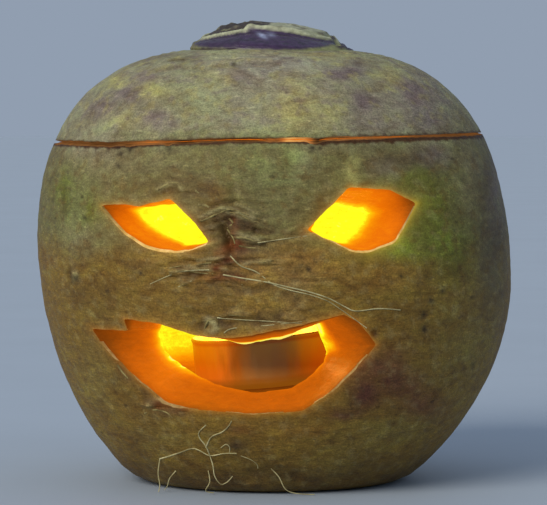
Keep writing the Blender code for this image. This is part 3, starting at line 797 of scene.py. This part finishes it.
farPatches = (    # on the back and the sides: tone, middle (x, y, z), half size, strength
    ("moss", (20, 42, 60), (14, 16, 18), 0.7), ("umber", (-24, 46, 40), (12, 14, 10), 0.6),
    ("plum", (-6, 50, 20), (16, 16, 8), 0.6), ("dusk", (6, 38, 98), (20, 14, 8), 0.8),
    ("gold", (-26, 34, 97), (10, 12, 6), 0.6), ("sand", (-10, 54, 76), (30, 16, 8), 0.5),
    ("green", (52, 24, 64), (8, 16, 14), 0.6), ("mauve", (-46, 20, 92), (10, 16, 6), 0.7),
    ("amber", (-50, 22, 50), (8, 18, 10), 0.6), ("tan", (44, 20, 28), (12, 18, 12), 0.5),
)
# dark spots on the skin, and painted shade in the nicks just below the seam
darkSpotsAndNickShade = (    # x, z, half width
    (23.9, 39.5, 0.9), (35.7, 43.7, 0.8), (35.9, 40.1, 0.8), (40, 49, 0.5), (-44, 66, 0.6),
    (-36, 78.4, 0.5), (8.4, 55, 0.7), (-46.4, 51.8, 0.9), (-38.5, 49, 0.6), (30, 53, 0.5),
    (37.2, 47, 0.8), (-35.4, 81.2, 0.7), (24.6, 33, 0.6), (-33.2, 82.4, 0.7), (-23.8, 82.6, 0.8),
    (9.4, 82.7, 0.7), (11.2, 82.8, 0.5), (-30.4, 53.6, 0.6), (48.2, 30.2, 0.6), (33.6, 103.2, 0.5),
    (-8.9, 102.2, 0.6),
)
flecks = (    # tone, where it fades in from and to in height, seed, size, strength
    ("dusk", 80, 92, 21, 3.2, 0.5), ("gold", 80, 92, 31, 3, 0.4), ("umber", 90, 76, 41, 2.6, 0.45),
    ("straw", 96, 84, 51, 2.2, 0.16),
)
# strengths of the seam's dried edges and of the painted shade in the gap
driedEdgeAndShade = {"body": 0.95, "lid": 0.75, "reach": 0.95, "wider": 0.35}    # the dried brown edges of the seam
# painted shade in the grooves of the folds and creases, and painted highlight on their crests
wrinkleShading = {"groove": 0.75, "crest": 0.35, "crease": 0.7}


def blended(colours, tone, share):
    return colours + (np.array(tones[tone]) - colours) * np.clip(share, 0.0, 1.0)[:, None]


def seamDriedAndShaded(places):
    # how dried and shaded each place is, below the cut and above it: the seam's dried brown edges, with
    # painted shade in the gap
    x, y, z = places.T
    below = seamAt(x, y) - z
    frayed = below * (1.0 + 0.5 * noiseAt(places, (1.2, 1.2, 4.0), 17.0))
    reach = driedEdgeAndShade["reach"] + driedEdgeAndShade["wider"] * smooth(8.0, 14.0, x)
    return (driedEdgeAndShade["body"] * smooth(reach, 0.5 * reach, frayed) * smooth(-0.2, 0.0, below),
            driedEdgeAndShade["lid"] * smooth(-1.2, -0.6, frayed) * smooth(0.0, -0.2, below))


def skinTone(places):
    x, y, z = places.T
    front = smooth(12.0, -4.0, y)
    behind = 12.0 * smooth(-15.0, 15.0, y)     # the olive fades out over a longer way there
    ragged = z + 2.5 * noiseAt(places, (14.0, 14.0, 7.0), 2.0) + 1.2 * noiseAt(places, 4.0, 2.5)
    uneven = noiseAt(places, (9.0, 9.0, 5.0), 11.0) + 0.7 * noiseAt(places, (3.6, 3.6, 2.2), 12.0)
    bentX = x + 1.3 * noiseAt(places, 5.0, 13.0) + 0.6 * noiseAt(places, 1.8, 13.5)
    bentZ = z + 1.0 * noiseAt(places, 5.0, 14.0) + 0.5 * noiseAt(places, 1.8, 14.5)
    patchy = np.clip(1.0 + 0.5 * uneven, 0.0, 1.5)
    farPatchy = np.clip(1.0 + 0.8 * uneven, 0.0, 1.6)

    def patched(tone, *oval):
        return blended(colours, tone, 1.3 * ovalSum(bentX, bentZ, (oval,)) * front * patchy)

    colours = np.tile(np.array(tones["ochre"]), (len(places), 1))
    colours = blended(colours, "olive", smooth(55.0 - behind, 64.0 + behind, ragged))
    colours = blended(colours, "cream", smooth(81.0, 88.0, ragged))
    for patch in patches:
        colours = patched(*patch)
    for tone, middle, half, strength in farPatches:
        far = np.sum(((places - np.array(middle)) / np.array(half)) ** 2, axis=1)
        colours = blended(colours, tone, strength * np.exp(-far) * farPatchy)
    for tone, low, high, seed, size, strength in flecks:
        spotty = noiseAt(places, (size, size, 0.8 * size), seed)
        spotty += 0.6 * noiseAt(places, 0.4 * size, seed + 1.0)
        colours = blended(colours, tone, strength * smooth(0.1, 0.6, spotty) * smooth(low, high, z))
    facing = y < -20.0
    pattern = np.zeros(len(places))
    pattern[facing] = foldPattern(places[facing])
    # the grooves get painted shade and the crests a painted highlight
    colours = blended(colours, "bark", wrinkleShading["groove"] * np.clip(pattern, 0.0, 1.0) ** 1.5)
    colours = blended(colours, "straw", wrinkleShading["crest"] * np.clip(-pattern, 0.0, 1.0))
    for line, depth, half in sorted(creases, key=lambda crease: -crease[1]):     # crests over grooves
        near = np.zeros(len(places))
        near[facing] = bell(nearness(places[facing][:, (0, 2)], line), 0.0, 0.9 * half)
        strength = wrinkleShading["crease"] * min(abs(depth) * 1.3, 1.0)
        colours = blended(colours, "bark" if depth > 0.0 else "straw", strength * near)
    for stain in stains:
        colours = patched(*stain)
    # the seam's dried edges, with painted shade in the gap below and above the cut
    for share in seamDriedAndShaded(places):
        colours = blended(colours, "driedEdgeAndShade", share)
    # dark spots, and painted shade in the nicks just below the seam
    for spotX, spotZ, half in darkSpotsAndNickShade:
        colours = blended(colours, "pitAndShade", 0.85 * bell(x, spotX, half) * bell(z, spotZ, half) * (y < 0.0))
    return colours


halos = (    # opening, colour and reach of the light that shows through its thin edge
    (leftEye, (0.22, 0.075, 0.004), 0.55), (leftEye, (0.055, 0.026, 0.002), 2.6),
    (rightEye, (0.22, 0.085, 0.004), 0.55), (rightEye, (0.055, 0.034, 0.002), 2.6),
    (rightEye[5:9], (0.085, 0.105, 0.004), 1.5),
    (mouth, (0.16, 0.050, 0.003), 0.55), (mouth, (0.035, 0.014, 0.001), 2.2),
)


def skinShine(places):
    shine = np.zeros((len(places), 3))
    front = places[:, 1] < 0.0
    flat = places[front][:, (0, 2)]
    for corners, colour, reach in halos:
        outline = [corner[0] for corner in corners]
        shine[front] += np.outer(np.exp(-nearness(flat, outline + outline[:1]) / reach), colour)
    return shine


glowPlaces = (    # soft ovals where the cut flesh is brighter or darker, and by how much
    (-23, 32, 6, 3.4, 0.17), (-26, 26.5, 7, 3.6, 0.1), (-39.5, 38, 6, 6, -0.17), (-33.5, 43, 5, 2, -0.13),
    (11.9, 35.8, 1.9, 3.4, -0.36), (22, 38, 5, 5, -0.03), (-38, 69, 4.5, 3.4, -0.24),
    (33, 69.8, 4.5, 4.5, -0.3), (18, 73, 6, 2, 0.04), (17, 30, 3, 1.2, 0.06),
    (-17, 60.6, 3.5, 1.1, -0.24),
)
seamLights = (    # x, half width, how much brighter
    (-39, 6, -0.1), (-28.5, 4, 0.14), (-20.5, 2.2, -0.2), (-9, 8, -0.15), (-0.5, 1.5, 0.12),
    (4, 1.8, 0.52), (7.2, 2, 0.38), (10.8, 1.3, -0.22), (20.5, 6, 0.06), (40, 9, -0.05),
)
lit = {    # how bright the flesh is; what the mouth's flesh lacks is taken off, as it is thicker
    "wall": 0.95, "mouthWall": 0.035, "wallFoot": 0.42, "cut": 0.61, "mouthCut": 0.19, "rind": 0.12,
    "eyeFade": 0.24, "mouthFade": 10.5, "besideWall": 0.16, "lip": 0.6, "lipEdge": 0.28, "underCup": 0.36,
    "seam": 0.25, "seamInside": 0.20, "seamUneven": 0.16, "seamRind": 0.45, "uneven": 0.03,
}


def fleshGlow(places):
    # 1 on the hollow's wall, fading through the flesh to the skin
    x, y, z = places.T
    inner = np.maximum(np.hypot(x, y) - hollowRadius(z), 0.0)
    outer = np.maximum(skinRadius(z) - np.hypot(x - leanAt(z), y), 0.0)
    share = inner / (inner + outer + 0.01)     # 0 at the wall, 1 at the skin
    front = y < 0.0
    cutFront = front * (share > 0.0)
    mouthward = smooth(56.0, 44.0, z)
    overFloor = z - floorAt(x, y)
    wall = lit["wall"] - lit["mouthWall"] * mouthward - lit["wallFoot"] * smooth(9.0, 1.0, overFloor)
    cut = lit["cut"] - lit["mouthCut"] * mouthward - lit["rind"] * smooth(0.75, 1.0, share)
    fade = mouthward * np.exp(-lit["mouthFade"] * share)
    fade += (1.0 - mouthward) * bell(share, 0.0, lit["eyeFade"])
    besideWall = bell(x, -24.0, 5.0) * bell(z, 35.0, 7.0) * bell(share, 0.12, 0.15) * cutFront
    glow = cut + (wall - cut) * (fade + lit["besideWall"] * besideWall)
    lip = bell(x, 4.0, 17.0) * smooth(33.0, 36.0, z) * mouthward     # the lip above the mouth
    glow += lip * lit["lip"] * smooth(0.34, 0.10, share) * cutFront
    glow -= lip * lit["lipEdge"] * smooth(0.40, 1.0, share) * front
    glow += ovalSum(x, z, glowPlaces) * cutFront
    glow -= lit["underCup"] * smooth(0.7, 0.2, overFloor) * smooth(31.0, 28.5, np.hypot(x, y))
    seamGlow = lit["seam"] + lit["seamInside"] * np.exp(-share * 9.0) + bellSum(x, seamLights) * front
    seamGlow += lit["seamUneven"] * noiseAt(places, (1.4, 1.4, 6.0), 16.0)
    seamGlow *= 1.0 - lit["seamRind"] * smooth(0.95, 1.0, share)
    glow += (seamGlow - glow) * smooth(seam["height"] - 3.0, seam["height"] - 1.0, z)
    return glow + lit["uneven"] * noiseAt(places, 5.0, 15.0)


# body and lid
peel = {"columns": 440, "crowding": 0.60, "overlap": 3.0}     # crowding draws the columns to the front
skinSteps = ((200, 0.62), (87.2, 0.24), (82.2, 0.95), (79, 0.42), (38, 0.95))     # height, spacing below it


def skinRows(top, bottom):
    # the skin's profile, with closer points over the face and at the seam
    line = []
    for index, (high, spacing) in enumerate(skinSteps):
        low = skinSteps[index + 1][0] if index + 1 < len(skinSteps) else bottom
        if min(high, top) > max(low, bottom) + 1.0:
            line += evenly(skinLine(min(high, top), max(low, bottom)), spacing)
    return line


def skinForm(profile):
    # turned, leaning, closer-meshed in front, then roughened
    def place(column, row):
        radius, z = profile[row]
        turn = 2.0 * pi * column / peel["columns"] - pi
        return grown(radius, turn - peel["crowding"] * sin(turn), z)
    bm = rolled(peel["columns"], len(profile), place)
    roughen(bm)
    return bm


def makeBody(looks):
    top = seam["height"] + peel["overlap"]
    edge, flat = float(skinRadius(turnip["baseEdge"])), turnip["baseFlat"]
    profile = [(0.0, top), (25.0, top)] + skinRows(top, turnip["baseEdge"])
    profile += [(0.5 * (edge + flat) + 0.6, 0.3 * turnip["baseEdge"]), (flat, 0.0), (14.0, 0.0), (0.0, 0.0)]
    piece = writeMesh(skinForm(profile), "turnip_body_skin", looks)
    heights = np.linspace(hollow["roof"], hollow["floor"] - 6.0, hollow["rows"])
    wall = [(float(hollowRadius(z)), z) for z in heights]
    room = turned([(0.0, heights[0])] + wall + [(0.0, heights[-1])], hollow["columns"])
    for vert in room.verts:
        vert.co.z = max(vert.co.z, floorAt(vert.co.x, vert.co.y))
    for face in room.faces:
        face.material_index = 1
    cutters = [seamCutter(True, looks), writeMesh(room, "room", looks)]
    for seed, corners in ((1.0, leftEye), (2.0, rightEye), (3.0, mouth)):
        cutters.append(openingCutter(corners, seed, looks))
    cutBy(piece, cutters)
    return piece


def makeLid(looks):
    bottom = seam["height"] - peel["overlap"]
    line = skinRows(200.0, bottom)
    profile = [(0.0, line[0][1])] + line[1:] + [(25.0, bottom), (0.0, bottom)]
    piece = writeMesh(skinForm(profile), "turnip_lid_skin", looks)
    cutBy(piece, [seamCutter(False, looks)])
    return piece


skinLooks = [skinMaterial(), fleshMaterial(), rimMaterial(), driedGlowingFleshMaterial()]
body = makeBody(skinLooks)
lid = makeLid(skinLooks)
for piece, node, slot in ((body, "turnip_body", "turnip_skin"), (lid, "turnip_lid", "turnip_lid_skin")):
    places = meshPlaces(piece)
    paint(piece, "tone", skinTone(places))
    paint(piece, "shine", skinShine(places))
    paint(piece, "glow", fleshGlow(places))
    finished(piece, node)
print("body and lid done")


# crown: a low mound of cut leaf bases, each with a purple side and a pale rim, round a dry scar
crown = {"x": 0.4, "columns": 240, "slope": 0.055, "scarRise": 0.5, "layerRise": 0.25, "rimRise": 0.45,
         "groove": 0.30, "swell": 0.25, "sharp": 60.0}
crownProfile = (
    (0.0, 112.8), (5, 112.7), (9, 112), (11.6, 111.5), (13.2, 111.1), (14.2, 110.1), (16.3, 108.8),
    (18.2, 107.6), (19.8, 106.5), (20.6, 105.3), (20, 104), (0.0, 104),
)
leafBases = (    # turns in degrees from the front, the radius of the rim and of the foot at each, how dry
    ((-33, -12, 20, 42, 66), (13.7, 13.2, 14, 15.2, 16.5), (20.6, 20.6, 20.2, 18.8, 16.9), 0),
    ((-80, -62, -46, -33, -24), (19, 17.7, 16.1, 14.9, 13.7), (20, 20.5, 20.7, 20.6, 20.5), 0.3),
    ((70, 90, 112, 130), (17.4, 15.6, 15.2, 16), (18.6, 20, 20.2, 19), 0.6),
    ((128, 150, 178, 196), (16, 14.2, 14, 15.4), (19, 20.3, 20.3, 19.4), 0.1),
    ((194, 215, 240, 276), (15.6, 14.6, 15.4, 18), (19, 20.2, 20.2, 20), 0.4),
    ((120, 150, 190, 230), (10.6, 8.8, 8.6, 10.4), (11.6, 11.8, 11.6, 11.4), 0.7),
)
scarEdge = (    # turn and radius
    (-80, 18.2), (-62, 16.9), (-46, 15.3), (-33, 14.1), (-24, 12.9), (-12, 11.6), (-4, 9),
)
# painted highlights on the crown's glossy purple sides
gleams = ((-2.4, 109.3, -0.5, 0.85), (-0.3, 109.5, -0.2, 0.4))     # x, z, slope and strength


def crownTop(places, turn, radius, wander, crumbs):
    # the top's colours and how far it rises: pale cut flesh, layered dark scars, dry layers to the right
    upper = smooth(14.6, 13.4, radius + wander)
    colours = np.tile(np.array(tones["leafGreen"]), (len(places), 1))
    colours = blended(colours, "leafCut", upper)
    colours = blended(colours, "brown", 0.8 * smooth(0.1, 0.45, crumbs) * upper)
    left = smooth(-14.0, -24.0, turn) * smooth(-135.0, -120.0, turn)
    scarred = np.minimum(left + smooth(95.0, 120.0, np.abs(turn)), 1.0)
    inside = smooth(13.6, 12.8, radius + wander)
    colours = blended(colours, "scar", scarred * inside * smooth(0.5, -0.1, crumbs))
    edge = np.interp(turn, *zip(*scarEdge))
    layered = smooth(-2.0, -10.0, turn) * smooth(-95.0, -80.0, turn) * smooth(2.0, 5.0, radius)
    layered *= smooth(edge + 0.2, edge - 0.3, radius + wander)
    colours = blended(colours, "scar", layered * (1.0 - 0.6 * smooth(0.2, 0.5, crumbs)))
    right = smooth(52.0, 64.0, turn) * smooth(118.0, 96.0, turn) * smooth(13.0, 14.4, radius)
    layers = np.sin(2.6 * (radius + 0.03 * turn) + 3.0 * wander)
    colours = blended(colours, "brown", 0.9 * right * smooth(-0.2, 0.5, layers))
    colours = blended(colours, "ink", 0.8 * right * smooth(0.55, 0.9, layers))
    leftEnd = smooth(-60.0, -72.0, turn) * smooth(-130.0, -110.0, turn) * smooth(17.5, 18.5, radius)
    colours = blended(colours, "brown", 0.6 * leftEnd)
    return colours, crown["scarRise"] * scarred * crumbs * upper + crown["layerRise"] * right * layers


def leafBase(turn, radius, wander, turns, rims, feet):
    # how much of each place is the base's side or its rim, and how far it rises
    turn = np.where(turn < turns[0], turn + 360.0, turn)
    within = smooth(turns[0], turns[0] + 5.0, turn) * smooth(turns[-1] + 1.0, turns[-1] - 5.0, turn)
    rim = np.interp(turn, turns, rims) + 0.5 * wander
    foot = np.interp(turn, turns, feet) + 0.6 * wander
    side = within * smooth(rim, rim + 0.35, radius) * smooth(foot + 0.2, foot - 0.3, radius)
    lip = within * smooth(rim + 0.25, rim - 0.05, radius) * smooth(rim - 1.2, rim - 0.7, radius)
    rise = crown["rimRise"] * lip - crown["groove"] * within * bell(radius, rim + 0.8, 0.6)
    return side, lip, rise + crown["swell"] * side * smooth(rim, foot, radius)


def makeCrown(look):
    bm = turned(finer(crownProfile, 0.3), crown["columns"])
    places = placesOf(bm)
    turn = np.degrees(np.arctan2(places[:, 0], -places[:, 1]))
    radius = np.hypot(places[:, 0], places[:, 1])
    wander = 0.35 * noiseAt(places, 5.0, 2.0) + 0.25 * noiseAt(places, 1.6, 3.0)
    crumbs = noiseAt(places, (2.2, 2.2, 0.9), 5.0) + 0.5 * noiseAt(places, 0.9, 5.5)
    colours, lift = crownTop(places, turn, radius, wander, crumbs)
    gloss = np.zeros(len(places))
    for turns, rims, feet, dry in leafBases:
        side, lip, rise = leafBase(turn, radius, wander, turns, rims, feet)
        colours = blended(colours, "violet", side)
        colours = blended(colours, "ink", side * np.clip(dry + 0.8 * smooth(0.1, 0.5, crumbs), 0.0, 1.0))
        colours = blended(colours, "leafRim", lip * (1.0 - 0.35 * smooth(0.0, 0.5, crumbs)))
        gloss = np.maximum(gloss * (1.0 - side), side * (1.0 - dry)) * (1.0 - lip)
        lift += rise
    lift += 0.18 * wander + 0.12 * noiseAt(places, 1.1, 8.0)
    places[:, 2] += np.where(places[:, 2] > 104.4, lift, 0.0) - crown["slope"] * places[:, 0]
    places[:, 0] += crown["x"]
    # the gleams are painted highlights, on the glossy front only
    for x, z, slope, bright in gleams:
        right, up = places[:, 0] - x, places[:, 2] - z
        gleam = bell(up - slope * right, 0.0, 0.55) * bell(right - 0.3 * up, 0.0, 1.2)
        colours = blended(colours, "gleam", bright * gleam * (gloss > 0.4) * (places[:, 1] < 0.0))
    movePlaces(bm, places)
    piece = writeMesh(bm, "crown_leaf_bases", [look])
    paint(piece, "tone", colours)
    paint(piece, "gloss", gloss)
    return piece


finished(makeCrown(crownMaterial()), "turnip_lid", crown["sharp"])


# thin threads on the skin
threads = {"step": 0.5, "sides": 7, "sharp": 60.0}     # sharp is the angle from which an edge shows


def smoothRoute(points):
    # a smooth curve through the points
    route = []
    for index in range(len(points) - 1):
        before, start, end = points[max(index - 1, 0)], points[index], points[index + 1]
        after = points[min(index + 2, len(points) - 1)]
        bend = 2.0 * before - 5.0 * start + 4.0 * end - after
        twist = 3.0 * start - before - 3.0 * end + after
        steps = max(round((end - start).length / threads["step"]), 1)
        for share in (part / steps for part in range(steps)):
            curved = (end - before) * share + bend * share ** 2 + twist * share ** 3
            route.append(0.5 * (2.0 * start + curved))
    return route + [points[-1]]


def makeThread(points, thick, thin, sides=threads["sides"]):
    # round, thickest at its start
    line = smoothRoute([Vector(point) for point in points])
    radii = np.linspace(thick, thin, len(line))

    def place(column, row):
        if row in (0, len(line) + 1):
            return line[0] if row == 0 else line[-1]
        at = row - 1
        along = (line[min(at + 1, len(line) - 1)] - line[max(at - 1, 0)]).normalized()
        first = along.cross(Vector((0.13, 0.21, 0.97))).normalized()
        turn = 2.0 * pi * column / sides
        return line[at] + float(radii[at]) * (first * cos(turn) + along.cross(first) * sin(turn))

    return rolled(sides, len(line) + 2, place)


def makeThreads(name, lines, form, look):
    # each thread lies on the skin, its middle proud of it by a share of its radius
    tree = BVHTree.FromObject(body, bpy.context.evaluated_depsgraph_get())
    whole = bmesh.new()
    for points, thick, thin, hanging in lines:
        thick, thin = form["scale"] * thick, form["scale"] * thin
        route = []
        for x, z in points:
            hit = tree.ray_cast(Vector((x, -100.0, z)) * mm, Vector((0.0, 1.0, 0.0)))[0]
            depth = float(skinDepth(x, z))
            if hit is not None and abs(hit.y / mm - depth) < 2.5:
                depth = hit.y / mm
            if route:
                depth += (min(depth, route[-1][1]) - depth) * hanging
            route.append((x, depth - form["proud"] * thick, max(z, 0.2)))
        thread = makeThread(route, thick, thin)
        mesh = bpy.data.meshes.new("thread")
        thread.to_mesh(mesh)
        thread.free()
        whole.from_mesh(mesh)
        bpy.data.meshes.remove(mesh)
    return writeMesh(whole, name, [look])


rootlets = (    # points (x, z) on the skin, start and end radius, how freely the end hangs
    (((-11.2, 53.7), (-7.1, 53), (-1.3, 52.1), (3.5, 51), (9.2, 49.6), (13.4, 48.1), (16.9, 46.2),
      (19.4, 45.2), (24.8, 45.6), (29.9, 45.1)), 0.21, 0.15, 0),
    (((-9.5, 58), (-7.1, 55.8), (-3.5, 54.4), (0.1, 51.7), (3.5, 50.4), (8.8, 49.1), (12.7, 47.7),
      (15.5, 45.9), (18, 44.1), (22, 41.1)), 0.19, 0.1, 0),
    (((-3.2, 61.1), (1.4, 61.8), (8.1, 62.7)), 0.17, 0.1, 0),
    (((-28.2, 51.2), (-21.2, 54.2), (-14.4, 54.8)), 0.1, 0.16, 0),
    (((-21.6, 50.7), (-18.4, 52.2)), 0.1, 0.13, 0),
    (((-12.6, 43.7), (-7.1, 43.3), (0.1, 42.9), (7, 42.4)), 0.17, 0.08, 0),
    (((-11, 40.2), (-8.7, 41.3), (0.1, 42.1), (7, 42.9)), 0.17, 0.08, 0),
    (((-26.7, 8.3), (-22.4, 10.1), (-18.9, 11.6), (-17, 11.2), (-14.6, 10), (-11.2, 10.7),
      (-8.3, 10.8)), 0.22, 0.13, 0),
    (((-11.9, 12.2), (-10.7, 13.1), (-9.9, 12.3), (-10, 10.7)), 0.14, 0.1, 0),
    (((-26.7, 8.3), (-27.1, 4.9), (-26.7, 2), (-27, 0.4)), 0.18, 0.12, 1),
    (((-22.9, 5.4), (-24.4, 3.5), (-25, 1.5), (-25.8, 0.4)), 0.16, 0.1, 0.8),
    (((-14.6, 10), (-15.5, 12.4), (-16.9, 14.4), (-17.1, 15.9), (-15.4, 17.8)), 0.2, 0.14, 0.2),
    (((-15.5, 12.1), (-14.2, 14.8), (-11.6, 16.2), (-10.1, 17.7), (-9.4, 19)), 0.2, 0.16, 0.2),
    (((-14.6, 10), (-13.9, 7.6), (-13.5, 5), (-12.1, 3), (-10.6, 3.4), (-9.3, 4.8)), 0.17, 0.12, 0.8),
    (((-15.1, 6), (-14.7, 3.3), (-15.7, 1.1), (-13.8, 0.5)), 0.15, 0.12, 0.9),
    (((-7.3, 10.2), (-4.9, 9.2), (-3.5, 8), (-3.3, 6.9)), 0.14, 0.09, 0),
    (((-0.2, 6.9), (1.7, 4.8), (3.2, 1.9), (5.7, 0.7), (10.1, 0.3)), 0.16, 0.12, 0.8),
)
veins = (    # short ones that are part of the skin, given the same way
    (((-16.4, 66), (-14.7, 66.6), (-12.9, 67.5), (-10.2, 68.7), (-8.1, 68.4), (-5.6, 67.5),
      (-2.8, 66.5)), 0.3, 0.18, 0),
    (((-9.6, 68), (-7.4, 67.5), (-5.2, 66.4), (-3, 65.8)), 0.24, 0.15, 0),
    (((-9.8, 66.5), (-8.9, 65.5), (-10.2, 64.4), (-9.7, 63.4), (-8.9, 62.2), (-8.4, 60.8)), 0.26, 0.2, 0),
    (((-8.1, 62.3), (-5.6, 62.1), (-3.2, 61.1)), 0.3, 0.2, 0),
    (((-7.6, 60.4), (-4.8, 59.9), (-1.1, 59.9)), 0.26, 0.14, 0),
    (((-23.6, 53.8), (-20.1, 54.5), (-16, 54), (-13.5, 53.9)), 0.24, 0.16, 0),
    (((-19.3, 55.7), (-16, 56.2), (-13.9, 56.4)), 0.2, 0.13, 0),
    (((-23.6, 55), (-20.9, 55.6)), 0.16, 0.1, 0),
    (((-6.9, 51.4), (-5.6, 52.7)), 0.18, 0.12, 0),
    (((-16.9, 69.7), (-15.4, 69.6), (-14.4, 69.1)), 0.42, 0.28, 0),
    (((-17.6, 73), (-16.8, 72.3)), 0.3, 0.2, 0),
    (((-26.4, 73), (-24.2, 74.3), (-21.8, 74.7), (-20.8, 73.4)), 0.28, 0.2, 0),
    (((-15.4, 41.2), (-14.6, 43), (-12.9, 43.3), (-12.3, 42.1), (-13.5, 41.2)), 0.3, 0.2, 0),
    (((-11.8, 43.8), (-9.4, 44.4), (-6.2, 44.1)), 0.18, 0.1, 0),
    (((-36.4, 31.4), (-35.2, 29.6), (-33.9, 28.2)), 0.26, 0.2, 0),
    (((-30, 19.9), (-27.7, 20.9), (-24.7, 20.4), (-23.3, 19.2)), 0.24, 0.16, 0),
)
rootletForm = {"scale": 0.88, "proud": 0.5}
veinForm = {"scale": 1.0, "proud": -0.35}

rootletPiece = makeThreads("rootlets", rootlets, rootletForm, rootMaterial())
finished(rootletPiece, "turnip_body", threads["sharp"])
veinPiece = makeThreads("skin_veins", veins, veinForm, veinMaterial())
finished(veinPiece, "turnip_body", threads["sharp"])
print("crown and rootlets done")


# tealight: a pressed foil cup with a rolled rim, wax, wick and flame
tealight = {
    "x": 0.5, "y": -5.0, "z": 24.7, "tilt": (0.8, -5.7), "radius": 19.0, "height": 12.4, "wall": 0.4,
    "rim": 0.5, "flutes": 32, "fluteDepth": 0.05, "wax": 8.7, "dish": 0.9, "wick": 0.8, "wickTop": 9.9,
    "columns": 192,
}
flameShape = (    # radius and height, from the tip down
    (0.0, 18.5), (0.7, 16.0), (1.5, 13.0), (2.3, 9.5), (2.75, 6.5), (2.7, 4.5), (2.0, 2.0), (0.9, 0.3),
    (0.0, 0.0),
)


def setDown(bm):
    # tilted a little and put on the hollow's floor
    tiltX, tiltY = (radians(turn) for turn in tealight["tilt"])
    lower = Matrix.Rotation(tiltX, 4, "X") @ Matrix.Rotation(tiltY, 4, "Y")
    place = Matrix.Translation((tealight["x"], tealight["y"], tealight["z"])) @ lower
    bmesh.ops.transform(bm, matrix=place, verts=bm.verts[:])
    return bm


def makeCup(looks):
    radius, height, wall, rim = (tealight[key] for key in ("radius", "height", "wall", "rim"))
    inner = radius - wall
    roll = [(radius - wall / 2 + rim * cos(turn), height - rim + rim * sin(turn))
            for turn in np.linspace(pi * 0.9, -0.35 * pi, 12)]
    profile = [(0.0, wall), (radius - 2.2, wall), (inner - 0.5, 1.4), (inner, 2.6), (inner, height - 1.6)]
    profile += roll + [(radius, height - 1.7), (radius, 2.6), (radius - 0.3, 1.2), (radius - 1.4, 0.3),
                       (radius - 3.0, 0.0), (0.0, 0.0)]
    bm = turned(finer(profile, 0.5), tealight["columns"])
    for vert in bm.verts:
        around = hypot(vert.co.x, vert.co.y)
        if around > radius - 3.0:
            turn = atan2(vert.co.x, -vert.co.y)
            share = float(bell(vert.co.z, 5.5, 4.0))
            push = 1.0 + tealight["fluteDepth"] * share * cos(turn * tealight["flutes"]) / around
            vert.co.x *= push
            vert.co.y *= push
    for face in bm.faces:      # the side that the flame shines on
        spot = face.calc_center_median()
        if spot.z > 1.5 and hypot(spot.x, spot.y) < radius - 0.5 * wall:
            face.material_index = 1
    return writeMesh(setDown(bm), "foil_cup", looks)


def makeWax(look):
    radius = tealight["radius"] - tealight["wall"] - 0.3
    top, dish = tealight["wax"], tealight["dish"]
    profile = ((0.0, top - dish), (4.0, top - dish), (9.0, top - 0.75 * dish), (14.0, top - 0.35 * dish),
               (radius - 0.8, top - 0.05), (radius - 0.1, top + 0.25), (radius, top), (radius - 0.1, 3.0),
               (radius - 1.4, 1.2), (0.0, 1.0))
    return writeMesh(setDown(turned(finer(profile, 0.8), 96)), "wax_pool", [look])


def makeWick(look):
    top, radius = tealight["wickTop"], tealight["wick"]
    points = ((0.0, 0.0, 6.0), (0.0, 0.1, 8.0), (0.3, 0.0, top), (1.0, -0.2, top + 2.2),
              (1.9, -0.3, top + 3.0))
    return writeMesh(setDown(makeThread(points, 0.8 * radius, 0.55 * radius, 10)), "wick_thread", [look])


def makeFlame(look):
    bm = turned(evenly(flameShape, 0.6), 32)
    bmesh.ops.translate(bm, vec=(0.6, 0.0, tealight["wickTop"] + 1.0), verts=bm.verts[:])
    return writeMesh(setDown(bm), "candle_flame", [look])


finished(makeCup([foilMaterial(), litFoilMaterial()]), "tealight_cup")
finished(makeWax(glowingWaxMaterial()), "tealight_wax")
finished(makeWick(wickMaterial()), "tealight_wick", threads["sharp"])
flameFoot = tealight["z"] + tealight["wickTop"] + 1.0
flameLook = flameMaterial(flameFoot, flameFoot + flameShape[0][1])
finished(makeFlame(flameLook), "tealight_wick", threads["sharp"])
print("tealight done")


# floor, lights and camera
studio = {"floor": (0.475, 0.537, 0.610), "air": (0.283, 0.342, 0.434), "keyPower": 2.0, "keySpread": 35.0,
          "keyColour": (1.0, 0.96, 0.88), "keyPlace": (-0.7, -1.0, 0.75), "candlePower": 0.12,
          "candleColour": (1.0, 0.55, 0.12)}
view = {"place": (0.0004, -0.8, 0.096), "aim": (0.0004, 0.0, 0.056), "lens": 213.2, "sensor": 36.0,
        "clip": 20.0}


def aimed(name, data, place, target):
    holder = bpy.data.objects.new(name, data)
    scene.collection.objects.link(holder)
    holder.location = place
    holder.rotation_euler = (Vector(target) - Vector(place)).to_track_quat("-Z", "Y").to_euler()
    return holder


def makeLamp(name, kind, power, colour, place):
    lamp = bpy.data.lights.new(name, kind)
    lamp.energy = power
    lamp.color = colour
    aimed(name, lamp, place, (0.0, 0.0, 0.06))
    return lamp


floorMesh = bmesh.new()
bmesh.ops.create_grid(floorMesh, x_segments=8, y_segments=8, size=6000.0)
floorStops = ((0.3, tuple(0.96 * part for part in studio["floor"])), (0.7, studio["floor"]))
floorLook = patchyMaterial("pale_floor", 60.0, floorStops, Roughness=0.6, Specular_IOR_Level=0.2)
writeMesh(floorMesh, "floor", [floorLook])
key = makeLamp("key", "SUN", studio["keyPower"], studio["keyColour"], studio["keyPlace"])
key.angle = radians(studio["keySpread"])
candlePlace = tuple(part * mm for part in (flame["x"], flame["y"], flame["z"]))
candle = makeLamp("candle", "POINT", studio["candlePower"], studio["candleColour"], candlePlace)
candle.shadow_soft_size = 0.004

world = bpy.data.worlds.new("room")
scene.world = world
world.use_nodes = True
world.node_tree.nodes["Background"].inputs["Color"].default_value = (*studio["air"], 1.0)
scene.view_settings.view_transform = "Standard"

camera = aimed("camera", bpy.data.cameras.new("camera"), view["place"], view["aim"])
camera.data.sensor_width = view["sensor"]
camera.data.lens = view["lens"]
camera.data.clip_end = view["clip"]
scene.camera = camera
